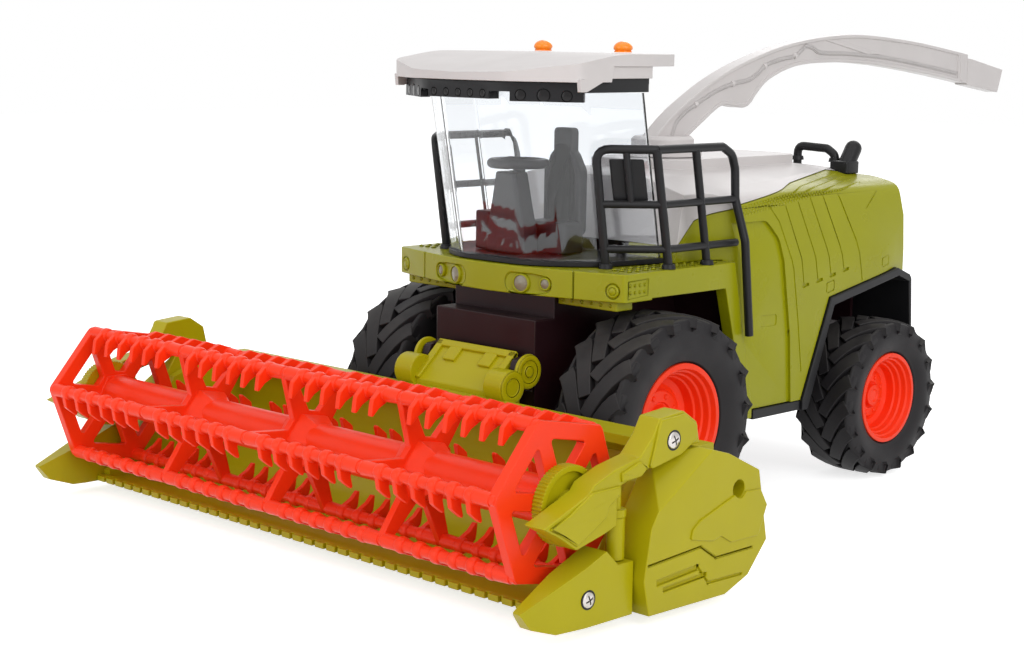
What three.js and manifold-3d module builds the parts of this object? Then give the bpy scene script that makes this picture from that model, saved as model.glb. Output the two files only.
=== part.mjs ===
// Toy combine harvester: a closed body on four wheels with a steered rear axle, a glass cab,
// a swivelling discharge spout and a lifting grain header with a turning reel.
// Millimetres. It stands on z = 0 and faces -Y; +X is its left side.
import * as THREE from "three";
import { mergeVertices } from "three/addons/utils/BufferGeometryUtils.js";
import Module from "manifold-3d";

const wasm = await Module();
wasm.setup();

// ---------------------------------------------------------------- driving dimensions

const gap = 0.3; // between pieces that touch
const roundSides = 16;
const wheelSides = 32;
const rimSides = 24;
const rodSides = 4;

// Wheels
const frontAxleY = -85;
const wheelbase = 129;
const frontTyreRadius = 38.1;
const frontTyreWidth = 28;
const frontTyreInnerX = 40;
const frontRimRadius = 21.3;
const rearTyreRadius = 31.1;
const rearTyreWidth = 24.5;
const rearTyreInnerX = 42.5;
const rearRimRadius = 17.8;
const stubRadius = 3;
const axleTubeRadius = 6;
const kingpinX = 46;
const kingpinRadius = 1.8;
const knuckleHalf = 3.2;
const earThickness = 3;

// Chassis
const chassisHalf = 25;
const bellyZ = 24;
const noseOverhang = 30.5;
const noseTopZ = 72.4;
const noseSetback = 9.3;

// Deck in front of the hood, over the front wheels
const tyreHeadroom = 4.5;
const deckHeight = 9.8;
const deckPlate = 3.5;
const bodyHalf = 56.5;
const deckOverhang = 31.5;
const legClearance = 1.9;
const panelWall = 5;

// Hood
const skirtZ = 34.7;
const hoodWall = 2.5;
const hoodRise = 34.2;
const rearTuck = 6.8;
const hoodLap = 22;
const walkway = 9.5;
const plateauHalf = 20;
const exhaustX = 34;
const plateauHeight = 3.4;
const trimThickness = 3.2;
const flapLap = 7.7;
const boardHeight = 3.5;

// Cab
const railingWalk = 13.5;
const cabSetback = 2.5;
const floorHeight = 1.7;
const glassHeight = 58;
const glassWall = 1.6;
const cabLean = 0.19;
const roofFrameHeight = 3.2;
const roofHeight = 9.5;
const roofStepback = 31.5;
const roofThin = 4.2;
const roofEaves = 3;
const roofLap = 5;
const beaconRadius = 3.2;
const seatX = 7;
const seatHalf = 9;
const seatHeight = 45;

// Railings and mirrors
const railRadius = 1.5;
const railTop = 41.5;
const railingFront = -43;
const postLean = 8;
const mirrorWidth = 12;
const mirrorHeight = 17;
const mirrorThickness = 2.6;

// Discharge spout
const spoutSetback = 47;
const spoutHalf = 3.4;
const turretRadius = 15;
const turretHeight = 3.2;
const spoutReach = 241;
const spoutRise = 45;
const flapLength = 31.2;

// Header
const headerHalf = 131;
const coverThickness = 13;
const endWall = 3.6;
const headerClearance = 8.8;
const headerBottomZ = 3;
const headerTopZ = 47.5;
const headerDepth = 65.7;
const troughWall = 3;
const pivotReach = 4;
const liftPivotZ = 55;
const liftPinRadius = 2;
const feederHalf = 19.5;
const lugThickness = 3.5;

// Reel
const reelForward = 64.6;
const reelZ = 37.3;
const reelRadius = 25.8;
const reelEndGap = 1.1;
const reelBarRadius = 1.7;
const reelTubeRadius = 7;
const reelPlate = 2.4;
const reelShaftRadius = 3;
const reelPhase = 49.5;
const discRadius = 12;
const discThickness = 4.4;
const armThickness = 8;
const postRadius = 2.8;
const postRodRadius = 1.3;

// Worked out from the sizes above
const rearAxleY = frontAxleY + wheelbase;
const chassisFrontY = frontAxleY - noseOverhang;
const deckFrontY = frontAxleY - deckOverhang;
const deckRearY = frontAxleY + frontTyreRadius + legClearance;
const hoodFrontY = deckRearY - hoodLap;
const cabHalf = bodyHalf - railingWalk;
const cabRearY = hoodFrontY - cabSetback;
const roofHalf = cabHalf + roofEaves;
const roofRearY = hoodFrontY + roofLap;
const spoutY = hoodFrontY + spoutSetback;
const deckBottomZ = 2 * frontTyreRadius + tyreHeadroom;
const deckTopZ = deckBottomZ + deckHeight;
const hoodTopZ = deckTopZ + hoodRise;
const hoodRearY = rearAxleY + rearTyreRadius - rearTuck;
const flapBottomZ = 2 * rearTyreRadius - flapLap;
const floorTopZ = deckTopZ + gap + floorHeight;
const glassTopZ = floorTopZ + gap + glassHeight;
const roofFrameTopZ = glassTopZ + gap + roofFrameHeight;
const roofTopZ = roofFrameTopZ + gap + roofHeight;
const roofStepY = cabRearY - roofStepback;
const roofStepZ = roofTopZ - roofThin;
const headerBackY = frontAxleY - frontTyreRadius - headerClearance;
const coverInnerX = headerHalf - coverThickness;
const troughHalf = coverInnerX - gap - endWall;
const reelY = headerBackY - reelForward;
const reelHalf = troughHalf - reelEndGap;
const liftPivotY = chassisFrontY - pivotReach;
const turretTopZ = hoodTopZ + gap + turretHeight;

// ---------------------------------------------------------------- solids

const X = new THREE.Vector3(1, 0, 0);
const Y = new THREE.Vector3(0, 1, 0);
const Z = new THREE.Vector3(0, 0, 1);

// Six times the volume that a list of triangles encloses; negative if they face inwards.
function facing(position, triangles) {
  let sum = 0;
  const [a, b, c] = [new THREE.Vector3(), new THREE.Vector3(), new THREE.Vector3()];
  for (let i = 0; i < triangles.length; i += 3) {
    a.fromArray(position, 3 * triangles[i]);
    b.fromArray(position, 3 * triangles[i + 1]);
    c.fromArray(position, 3 * triangles[i + 2]);
    sum += a.dot(b.cross(c));
  }
  return sum;
}

// A closed triangle surface as a solid that can be joined and cut.
function solid(geometry) {
  const bare = geometry.clone();
  bare.deleteAttribute("normal");
  bare.deleteAttribute("uv");
  const merged = mergeVertices(bare, 1e-4);
  const position = merged.attributes.position.array;
  const index = merged.index.array;
  const triangles = [];
  for (let i = 0; i < index.length; i += 3) {
    const [a, b, c] = index.slice(i, i + 3);
    if (a !== b && b !== c && c !== a) triangles.push(a, b, c);
  }
  if (facing(position, triangles) < 0) triangles.reverse();
  const mesh = new wasm.Mesh({
    numProp: 3,
    vertProperties: position,
    triVerts: new Uint32Array(triangles),
  });
  return new wasm.Manifold(mesh);
}

function join(...solids) {
  return solids.reduce((whole, next) => whole.add(next));
}

// A flat outline of [u, v] or [u, v, corner size]; a corner with a size is rounded off.
function shapeOf(outline) {
  const shape = new THREE.Shape();
  const count = outline.length;
  outline.forEach(([u, v, size = 0], i) => {
    const corner = new THREE.Vector2(u, v);
    const before = new THREE.Vector2(...outline[(i + count - 1) % count].slice(0, 2));
    const after = new THREE.Vector2(...outline[(i + 1) % count].slice(0, 2));
    const start = corner.clone().add(before.sub(corner).setLength(size));
    const end = corner.clone().add(after.sub(corner).setLength(size));
    if (i === 0) shape.moveTo(start.x, start.y);
    else shape.lineTo(start.x, start.y);
    if (size > 0) shape.quadraticCurveTo(u, v, end.x, end.y);
  });
  return shape;
}

// An outline pushed out along one axis: (y, z) along x, (x, z) along y or (x, y) along z.
function prism(axis, outline, low, high) {
  const options = { depth: high - low, bevelEnabled: false, curveSegments: 4 };
  const geometry = new THREE.ExtrudeGeometry(shapeOf(outline), options);
  const place = new THREE.Matrix4();
  if (axis === "x") place.makeBasis(Y, Z, X).setPosition(low, 0, 0);
  if (axis === "y") place.makeBasis(X, Z, Y.clone().negate()).setPosition(0, high, 0);
  if (axis === "z") place.setPosition(0, 0, low);
  return solid(geometry.applyMatrix4(place));
}

function box([x0, x1], [y0, y1], [z0, z1]) {
  const geometry = new THREE.BoxGeometry(x1 - x0, y1 - y0, z1 - z0);
  return solid(geometry.translate((x0 + x1) / 2, (y0 + y1) / 2, (z0 + z1) / 2));
}

// A round rod between two points, with another radius at its far end where it tapers.
function rod(from, to, radius, sides = rodSides, endRadius = radius) {
  const start = new THREE.Vector3(...from);
  const along = new THREE.Vector3(...to).sub(start);
  const geometry = new THREE.CylinderGeometry(endRadius, radius, along.length(), sides);
  geometry.translate(0, along.length() / 2, 0);
  geometry.applyQuaternion(new THREE.Quaternion().setFromUnitVectors(Y, along.clone().normalize()));
  return solid(geometry.translate(...from));
}

function ball(centre, radius) {
  return solid(new THREE.SphereGeometry(radius, rodSides, 2).translate(...centre));
}

// Bent tube: straight rods that meet in balls.
function tube(points, radius) {
  const rods = points.slice(1).map((point, i) => rod(points[i], point, radius));
  const knees = points.slice(1, -1).map((point) => ball(point, radius * 1.02));
  return join(...rods, ...knees);
}

// A profile of [radius, x] turned about the X axis.
function turned(profile, sides) {
  const points = profile.map(([radius, x]) => new THREE.Vector2(radius, x));
  const geometry = new THREE.LatheGeometry(points, sides);
  geometry.applyMatrix4(new THREE.Matrix4().makeBasis(Z, X, Y));
  return solid(geometry);
}

// The part of both signs of x: an outline's right half completed by its mirror image.
function bothSides(half) {
  const mirrored = half.map(([x, y, size]) => [-x, y, size]).reverse();
  return [...half, ...mirrored.filter(([x]) => x !== 0)];
}

// The part of a solid below the plane through three points.
function below(solid, ...points) {
  const [a, b, c] = points.map((point) => new THREE.Vector3(...point));
  const normal = b.sub(a).cross(c.sub(a)).normalize();
  if (normal.z > 0) normal.negate();
  return solid.trimByPlane(normal.toArray(), normal.dot(a));
}

// An outline pushed up and leant forward about a base height, as the cab and its railings lean.
function leaning(outline, low, high, baseZ) {
  const geometry = new THREE.ExtrudeGeometry(shapeOf(outline), {
    depth: high - low,
    bevelEnabled: false,
    curveSegments: 4,
  });
  const shear = new THREE.Matrix4();
  shear.set(1, 0, 0, 0, 0, 1, -cabLean, -cabLean * (low - baseZ), 0, 0, 1, low, 0, 0, 0, 1);
  return solid(geometry.applyMatrix4(shear));
}

// ---------------------------------------------------------------- scene helpers

const harvester = new THREE.Group();

const lime = { color: 0xb0b830, roughness: 0.38, metalness: 0 };
const olive = { color: 0xb8b232, roughness: 0.4, metalness: 0 };
const grey = { color: 0xd2cecc, roughness: 0.42, metalness: 0 };
const black = { color: 0x2b2b2d, roughness: 0.45, metalness: 0 };
const rubber = { color: 0x363738, roughness: 0.75, metalness: 0 };
const orange = { color: 0xff4420, roughness: 0.4, metalness: 0 };
const amber = { color: 0xf07a18, roughness: 0.25, metalness: 0 };
const clear = { color: 0xeef2f2, roughness: 0.08, metalness: 0, transparent: true, opacity: 0.3 };
const slate = { color: 0x45474c, roughness: 0.6, metalness: 0 };

function add(name, made, finish, [x, y, z] = [0, 0, 0], mirrored = false) {
  const { vertProperties, triVerts } = made.getMesh();
  const geometry = new THREE.BufferGeometry();
  geometry.setAttribute("position", new THREE.BufferAttribute(new Float32Array(vertProperties), 3));
  geometry.setIndex(new THREE.BufferAttribute(new Uint32Array(triVerts), 1));
  geometry.computeVertexNormals();
  const mesh = new THREE.Mesh(geometry, new THREE.MeshStandardMaterial(finish));
  mesh.name = name;
  mesh.position.set(mirrored ? -x : x, y, z);
  if (mirrored) mesh.scale.set(-1, 1, 1);
  harvester.add(mesh);
}

// The same piece on both sides, the right one as the left one's mirror image.
function addPair(name, made, finish, place) {
  add(`${name}_left`, made, finish, place);
  add(`${name}_right`, made, finish, place, true);
}

// ---------------------------------------------------------------- wheels

// Tyre section, turned about the axle; x is measured from its middle plane.
function tyre(radius, width, rimRadius) {
  const half = width / 2;
  const bore = rimRadius + gap;
  const wall = radius - bore;
  const side = [
    [bore, half * 0.82],
    [bore + wall * 0.18, half * 0.95],
    [bore + wall * 0.5, half],
    [radius - wall * 0.14, half * 0.93],
    [radius, half * 0.72],
  ];
  const section = [...side, ...side.map(([r, x]) => [r, -x]).reverse(), side[0]];
  return turned(section, wheelSides);
}

// Deep-dished wheel with a closed hub; its inner side has the blind bore for the stub axle.
function rim(radius, width) {
  const lip = width * 0.41;
  const barrel = radius - 1.8;
  return turned([
    [0, 3.4],
    [5.6, 3.4],
    [6.2, -0.6],
    [radius * 0.56, -0.6],
    [radius * 0.62, 1.4],
    [radius * 0.76, 1.8],
    [barrel - 1, 4.4],
    [barrel, lip],
    [radius, lip],
    [radius, -lip],
    [barrel, -lip],
    [barrel - 0.6, -3.4],
    [6.2, -3.4],
    [6.2, -4.6],
    [stubRadius + gap, -4.6],
    [stubRadius + gap, 1.6],
    [0, 1.6],
  ], rimSides);
}

function addWheels() {
  const frontX = frontTyreInnerX + frontTyreWidth / 2;
  const rearX = rearTyreInnerX + rearTyreWidth / 2;
  const front = [frontX, frontAxleY, frontTyreRadius];
  const rear = [rearX, rearAxleY, rearTyreRadius];
  addPair("front_tyre", tyre(frontTyreRadius, frontTyreWidth, frontRimRadius), rubber, front);
  addPair("front_rim", rim(frontRimRadius, frontTyreWidth), orange, front);
  addPair("rear_tyre", tyre(rearTyreRadius, rearTyreWidth, rearRimRadius), rubber, rear);
  addPair("rear_rim", rim(rearRimRadius, rearTyreWidth), orange, rear);
}

// Straight front axle through the chassis, with a stub for each wheel.
function addFrontAxle() {
  const tubeEnd = frontTyreInnerX + frontTyreWidth / 2 - 4.6 - 1;
  const stubEnd = frontTyreInnerX + frontTyreWidth / 2 + 1.6 - gap;
  const at = (x) => [x, frontAxleY, frontTyreRadius];
  const axle = join(
    rod(at(-tubeEnd), at(tubeEnd), axleTubeRadius, roundSides),
    rod(at(-stubEnd), at(stubEnd), stubRadius, roundSides),
  );
  add("front_axle", axle, black);
}

// Rear beam with an ear above and below each knuckle.
function addRearAxle() {
  const reach = knuckleHalf + gap;
  const beam = (grow) =>
    box(
      [-kingpinX + reach + 1, kingpinX - reach - 1],
      [rearAxleY - 4.5 - grow, rearAxleY + 4.5 + grow],
      [rearTyreRadius - 5 - grow, rearTyreRadius + 5 + grow],
    );
  const ear = (side, z) =>
    box(
      side > 0 ? [kingpinX - 12, kingpinX + 3] : [-kingpinX - 3, -kingpinX + 12],
      [rearAxleY - 3.4, rearAxleY + 3.4],
      [z, z + earThickness],
    );
  const web = (side) =>
    box(
      side > 0 ? [kingpinX - 12, kingpinX - 7] : [-kingpinX + 7, -kingpinX + 12],
      [rearAxleY - 3.4, rearAxleY + 3.4],
      [rearTyreRadius - 8.5, rearTyreRadius + 8.5],
    );
  const upper = rearTyreRadius + 5.8;
  const lower = rearTyreRadius - 5.8 - earThickness;
  const narrow = beam(0).intersect(
    box([-kingpinX + 8, kingpinX - 8], [rearAxleY - 9, rearAxleY + 9], [0, 2 * rearTyreRadius]),
  );
  const pin = (side, z) =>
    rod(
      [side * kingpinX, rearAxleY, z - 1],
      [side * kingpinX, rearAxleY, z + earThickness + 1],
      kingpinRadius + gap,
      roundSides,
    );
  let axle = join(narrow, web(1), web(-1), ear(1, upper), ear(-1, upper), ear(1, lower), ear(-1, lower));
  [1, -1].forEach((side) => {
    axle = axle.subtract(pin(side, upper)).subtract(pin(side, lower));
  });
  add("rear_axle", axle, black);
}

// Steering knuckle: block on a vertical kingpin, with the stub axle on its outer side.
function addKnuckles() {
  const z = rearTyreRadius;
  const reach = 5.8 + earThickness - gap;
  const stubEnd = rearTyreInnerX + rearTyreWidth / 2 + 1.6 - gap;
  const knuckle = join(
    box(
      [kingpinX - knuckleHalf, kingpinX + knuckleHalf],
      [rearAxleY - knuckleHalf, rearAxleY + knuckleHalf],
      [z - 5.5, z + 5.5],
    ),
    rod([kingpinX, rearAxleY, z - reach], [kingpinX, rearAxleY, z + reach], kingpinRadius, roundSides),
    rod([kingpinX, rearAxleY, z], [stubEnd, rearAxleY, z], stubRadius, roundSides),
  );
  addPair("knuckle", knuckle, black);
}

// ---------------------------------------------------------------- chassis and drive

// Where the wheel arch roof starts and ends, as the hood, its trim and the chassis all use it.
function archLine() {
  const top = 2 * rearTyreRadius;
  return {
    low: [rearAxleY - rearTyreRadius - 14.9, skirtZ],
    front: [rearAxleY - rearTyreRadius + 1.4, top + 10.6],
    rear: [rearAxleY + 16.1, top + 18.7],
    corner: [hoodRearY, top + 15.6],
  };
}

function addChassis() {
  const { front, rear, corner } = archLine();
  const noseY = chassisFrontY + noseSetback;
  const outline = [
    [chassisFrontY, bellyZ + 14],
    [chassisFrontY, noseTopZ],
    [noseY, noseTopZ],
    [noseY, deckBottomZ - gap],
    [front[0] - 4, deckBottomZ - gap],
    [front[0] + 3, front[1] - trimThickness - 2 * gap],
    [rear[0], rear[1] - trimThickness - 2 * gap],
    [corner[0], corner[1] - trimThickness - 2 * gap],
    [corner[0], bellyZ + 12],
    [corner[0] - 8, bellyZ],
    [chassisFrontY + 12, bellyZ],
  ];
  const beamSlot = box(
    [-chassisHalf - 1, chassisHalf + 1],
    [rearAxleY - 4.5 - gap, rearAxleY + 4.5 + gap],
    [rearTyreRadius - 5 - gap, rearTyreRadius + 5 + gap],
  );
  const axleBore = rod(
    [-chassisHalf - 1, frontAxleY, frontTyreRadius],
    [chassisHalf + 1, frontAxleY, frontTyreRadius],
    axleTubeRadius + gap,
    roundSides,
  );
  const lugX = feederHalf + 1;
  const lug = (side) =>
    prism(
      "x",
      [
        [chassisFrontY + 1, liftPivotZ - 8],
        [chassisFrontY + 1, liftPivotZ + 5],
        [liftPivotY - 3, liftPivotZ + 4.5, 2],
        [liftPivotY - 4.5, liftPivotZ, 2],
        [liftPivotY - 3, liftPivotZ - 4.5, 2],
      ],
      side > 0 ? lugX : -lugX - lugThickness,
      side > 0 ? lugX + lugThickness : -lugX,
    );
  const pinBore = rod(
    [-lugX - lugThickness - 1, liftPivotY, liftPivotZ],
    [lugX + lugThickness + 1, liftPivotY, liftPivotZ],
    liftPinRadius + gap,
    roundSides,
  );
  const frame = join(prism("x", outline, -chassisHalf, chassisHalf), lug(1), lug(-1))
    .subtract(beamSlot)
    .subtract(axleBore)
    .subtract(pinBore);
  add("chassis_frame", frame, black);
}

// Battery and gear block on the chassis, inside the hood.
function addBatteryBox() {
  const { front } = archLine();
  const low = deckBottomZ;
  const block = box([-22, 22], [hoodFrontY + 6, front[0] - 5], [low, low + 26]);
  add("battery_box", block, slate);
}

// ---------------------------------------------------------------- hood

// Side view of the closed body over the engine, from the deck round to the rear arch.
function hoodOutline() {
  const { low, front, rear, corner } = archLine();
  const legRear = deckRearY + gap;
  return [
    [legRear + 13, skirtZ],
    [legRear, deckTopZ + gap],
    [hoodFrontY, deckTopZ + gap],
    [hoodFrontY + 4.6, hoodTopZ - 5, 2],
    [hoodFrontY + 10, hoodTopZ - plateauHeight, 2],
    [hoodRearY - 26, hoodTopZ - plateauHeight, 10],
    [hoodRearY - 3, deckTopZ + 25, 3],
    [hoodRearY, corner[1] + 9.7],
    corner,
    rear,
    front,
    low,
  ];
}

// Cross view: upright skirts, then shoulders that fall away from the flat middle.
function hoodSection() {
  return bothSides([
    [bodyHalf - 0.5, 0],
    [bodyHalf - 0.5, deckTopZ - 2],
    [bodyHalf - 5, deckTopZ + 23, 4],
    [plateauHalf + 2, hoodTopZ - plateauHeight, 8],
  ]);
}

// Plan: narrower beside the walkway, full width behind the front wheels, slightly closed at the rear.
function hoodPlan() {
  const full = bodyHalf - 0.5;
  return bothSides([
    [full - walkway, hoodFrontY - 5],
    [full - walkway, deckRearY - 5, 4],
    [full, deckRearY + 8, 5],
    [full, hoodRearY - 14, 6],
    [full - 3.5, hoodRearY + 5],
  ]);
}

// Line in the side view at which the light cover meets the green shell.
function coverLine(shift) {
  return [
    [hoodFrontY - 5, deckTopZ + shift],
    [hoodFrontY + 10, deckTopZ + 14.5 + shift],
    [hoodFrontY + 31, deckTopZ + 20 + shift],
    [spoutY + 26, deckTopZ + 25.2 + shift],
    [hoodRearY - 24, deckTopZ + 28.1 + shift],
    [hoodRearY - 3, deckTopZ + 25.5 + shift],
    [hoodRearY + 5, deckTopZ + 24 + shift],
  ];
}

// The outline moved inwards by a wall, corner by corner.
function inset(outline, wall) {
  const turn = Math.sign(THREE.ShapeUtils.area(outline.map(([x, y]) => ({ x, y }))));
  const edges = outline.map(([u, v], i) => {
    const [nextU, nextV] = outline[(i + 1) % outline.length];
    const direction = new THREE.Vector2(nextU - u, nextV - v).normalize();
    const inward = new THREE.Vector2(-direction.y, direction.x).multiplyScalar(turn * wall);
    return { point: new THREE.Vector2(u, v).add(inward), direction };
  });
  return edges.map(({ point, direction }, i) => {
    const last = edges[(i + edges.length - 1) % edges.length];
    const across = last.direction.cross(direction);
    const along = point.clone().sub(last.point).cross(direction) / across;
    const corner = last.point.clone().addScaledVector(last.direction, along);
    return [corner.x, corner.y];
  });
}

function hoodBody(wall) {
  const half = bodyHalf - 0.5 - wall;
  const plain = (points) => points.map(([u, v]) => [u, v]);
  const side = wall ? inset(plain(hoodOutline()), wall) : hoodOutline();
  const section = wall ? inset(plain(hoodSection()), wall) : hoodSection();
  const sides = prism("x", side, -half, half);
  const plan = wall ? inset(plain(hoodPlan()), wall) : hoodPlan();
  const across = prism("y", section, hoodFrontY - 10, hoodRearY + 10);
  return sides.intersect(across).intersect(prism("z", plan, 0, hoodTopZ + 1));
}

function addHood() {
  const { front } = archLine();
  const reach = [-bodyHalf - 5, bodyHalf + 5];
  const below = prism("x", [...coverLine(0), [hoodRearY + 5, 0], [hoodFrontY - 5, 0]], ...reach);
  const high = hoodTopZ + 20;
  const above = prism("x", [...coverLine(gap), [hoodRearY + 5, high], [hoodFrontY - 5, high]], ...reach);
  const throat = box(
    [-chassisHalf - gap, chassisHalf + gap],
    [deckRearY - 10, front[0] + 2],
    [0, deckTopZ - 8],
  );
  const deckMouth = box([-24, 24], [hoodFrontY - 1, front[0] - 3], [0, deckTopZ + 20]);
  const hollow = hoodBody(0).subtract(hoodBody(hoodWall));
  const shell = hollow.intersect(below).subtract(throat).subtract(deckMouth);
  add("hood_shell", shell, lime);
  const plateau = prism(
    "z",
    bothSides([
      [plateauHalf - 5, spoutY - 22, 2],
      [plateauHalf, spoutY - 15, 2],
      [plateauHalf, spoutY + 57, 2],
      [plateauHalf - 5, spoutY + 63, 2],
    ]),
    hoodTopZ - plateauHeight - hoodWall,
    hoodTopZ,
  );
  add("hood_cover", join(hollow.intersect(above), plateau), grey);
}

// Black trim under the edge of the rear wheel arch, with the flap behind the wheel.
function addRearArches() {
  const { low, front, rear, corner } = archLine();
  const outer = [
    [low[0] + gap, skirtZ - 4],
    [low[0] + gap, skirtZ - gap],
    [front[0] + gap, front[1] - gap],
    [rear[0], rear[1] - gap],
    [corner[0], corner[1] - gap],
    [corner[0] + 1.4, corner[1] - 2],
    [corner[0] + 3, flapBottomZ],
  ];
  const inner = [
    [corner[0] + 1.4, flapBottomZ],
    [corner[0] - 0.4, corner[1] - trimThickness],
    [rear[0] + 0.4, rear[1] - trimThickness - gap],
    [front[0] + 2.6, front[1] - trimThickness - gap],
    [low[0] + 4, skirtZ - 4],
  ];
  const arch = prism("x", [...outer, ...inner], chassisHalf + gap, bodyHalf + 0.6);
  addPair("rear_arch", arch, black);
}

function addRunningBoards() {
  const { low } = archLine();
  const top = skirtZ - gap;
  const front = deckRearY + 14;
  const board = box([chassisHalf + gap, bodyHalf - 0.5], [front, low[0]], [top - boardHeight, top]);
  addPair("running_board", board, black);
}

// ---------------------------------------------------------------- deck

// Bumper, deck plate, side rails and the panels that stand behind the front wheels.
function addFrontDeck() {
  const nose = [
    [0, deckFrontY],
    [bodyHalf * 0.29, deckFrontY + 1.4],
    [bodyHalf * 0.66, deckFrontY + 6.3],
    [bodyHalf, deckFrontY + 11.6, 1.5],
  ];
  const plan = bothSides([...nose, [bodyHalf, deckRearY]]);
  const bumperPlan = bothSides([
    ...nose,
    [bodyHalf, deckFrontY + 26],
    [bodyHalf - 14, deckFrontY + 26],
    [chassisHalf + 8, chassisFrontY + noseSetback - gap],
    [0, chassisFrontY + noseSetback - gap],
  ]);
  const hoodNotch = box(
    [-23.5, 23.5],
    [hoodFrontY + 5, deckRearY + 1],
    [deckBottomZ - 1, deckTopZ + 1],
  );
  const plate = prism("z", plan, deckTopZ - deckPlate, deckTopZ).subtract(hoodNotch);
  const bumper = prism("z", bumperPlan, deckBottomZ, deckTopZ - 1);
  const rail = box(
    [bodyHalf - panelWall, bodyHalf],
    [deckFrontY + 20, deckRearY],
    [deckBottomZ + 0.6, deckTopZ],
  );
  const leg = prism(
    "x",
    [
      [deckRearY - 8, deckTopZ],
      [deckRearY, deckTopZ],
      [deckRearY + 12.6, skirtZ + 1],
      [deckRearY + 12.6, skirtZ - 3],
      [deckRearY + 9, skirtZ - 3],
      [deckRearY - 5.2, deckBottomZ + 1],
    ],
    bodyHalf - panelWall,
    bodyHalf,
  );
  const legs = join(leg, mirror(leg));
  add("front_deck", join(plate, bumper, rail, mirror(rail), legs), lime);
}

// A solid's mirror image across the middle of the machine.
function mirror(made) {
  const { vertProperties, triVerts } = made.getMesh();
  const geometry = new THREE.BufferGeometry();
  const position = new THREE.BufferAttribute(new Float32Array(vertProperties), 3);
  geometry.setAttribute("position", position);
  geometry.setIndex(new THREE.BufferAttribute(new Uint32Array(triVerts), 1));
  return solid(geometry.scale(-1, 1, 1));
}

// ---------------------------------------------------------------- cab

// Plan of the cab: bowed windscreen, slanting front corners and straight rear.
function cabPlan(grow) {
  const half = cabHalf + grow;
  return bothSides([
    [0, cabRearY - 43.3 - grow],
    [half * 0.36, cabRearY - 43.1 - grow, half * 0.14],
    [half * 0.64, cabRearY - 36.6 - grow, half * 0.116],
    [half * 0.87, cabRearY - 25.3 - grow * 0.5, half * 0.09],
    [half, cabRearY + grow, 2],
  ]);
}

function addCab() {
  add("cab_floor", prism("z", cabPlan(1), deckTopZ + gap, floorTopZ), slate);
  const low = floorTopZ + gap;
  const outside = leaning(cabPlan(0), low, glassTopZ, low);
  const inside = leaning(cabPlan(-glassWall), low - 1, glassTopZ + 1, low);
  add("cab_glass", outside.subtract(inside), clear);
  addRoofFrame();
  addRoof();
}

// Dark frame on top of the glass, with three lamp bars along its front.
function addRoofFrame() {
  const low = glassTopZ + gap;
  const forward = cabLean * glassHeight;
  const frontY = cabRearY - 43.3 - forward - 6;
  const apron = bothSides([
    [0, frontY],
    [15, frontY],
    [22, frontY + 3],
    [cabHalf + 1, frontY + 16, 2],
    [cabHalf + 1, cabRearY - forward + 1, 2],
  ]);
  const opening = cabPlan(-glassWall - 2).map(([x, y, size]) => [x, y - forward, size]);
  const ring = prism("z", apron, low, low + roofFrameHeight)
    .subtract(prism("z", opening, low - 1, low + roofFrameHeight + 1));
  const centreBar = box([-15, 15], [frontY, frontY + 5], [low - 2.6, low + 1]);
  const sideBar = prism(
    "z",
    [[22, frontY + 3], [cabHalf + 1, frontY + 16], [cabHalf - 2, frontY + 20], [22, frontY + 7.5]],
    low - 3.2,
    low + 1,
  );
  const liner = box(
    [-cabHalf - 1, cabHalf + 1],
    [roofStepY + gap, cabRearY - forward],
    [low + roofFrameHeight - 0.5, roofStepZ - gap],
  );
  add("roof_frame", join(ring, centreBar, sideBar, mirror(sideBar), liner), black);
}

// Light roof: full height over the cab, thinner along its drooping front edge.
function roofPlan() {
  const frontY = cabRearY - 43.3 - cabLean * glassHeight - 8;
  return bothSides([
    [0, frontY],
    [roofHalf * 0.5, frontY + 2, 3],
    [roofHalf, frontY + 14, 4],
    [roofHalf, cabRearY - 10, 3],
    [roofHalf - 5, roofRearY, 4],
  ]);
}

function addRoof() {
  const low = roofFrameTopZ + gap;
  const frontY = roofPlan()[0][1];
  const side = [
    [frontY - 1, low],
    [frontY - 1, low + 2.4],
    [frontY + 13, low + 6.2, 6],
    [cabRearY - 28, roofTopZ, 6],
    [roofRearY + 1, roofTopZ],
    [roofRearY + 1, roofStepZ],
    [roofStepY, roofStepZ],
    [roofStepY - 1, low],
  ];
  const lid = prism("z", roofPlan(), low, roofTopZ).intersect(prism("x", side, -roofHalf, roofHalf));
  const lobe = prism(
    "x",
    [
      [frontY + 14, low + 1],
      [frontY + 14.5, low - roofFrameHeight],
      [frontY + 17.5, low - roofFrameHeight],
      [roofStepY - 3, low + 1],
    ],
    cabHalf + 1 + gap,
    roofHalf,
  );
  add("cab_roof", join(lid, lobe, mirror(lobe)), grey);
  const centre = [roofHalf * 0.43, roofRearY - 5, roofTopZ + gap];
  const foot = rod([0, 0, 0], [0, 0, 0.8], beaconRadius, 16);
  const shell = new THREE.LatheGeometry(
    [
      [0, 0.4],
      [beaconRadius * 0.96, 0.4],
      [beaconRadius * 0.9, 0.8 + beaconRadius * 0.45],
      [beaconRadius * 0.6, 0.8 + beaconRadius * 0.85],
      [0, 0.8 + beaconRadius],
    ].map(([r, z]) => new THREE.Vector2(r, z)),
    16,
  ).rotateX(Math.PI / 2);
  addPair("beacon", join(foot, solid(shell)), amber, centre);
}

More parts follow.
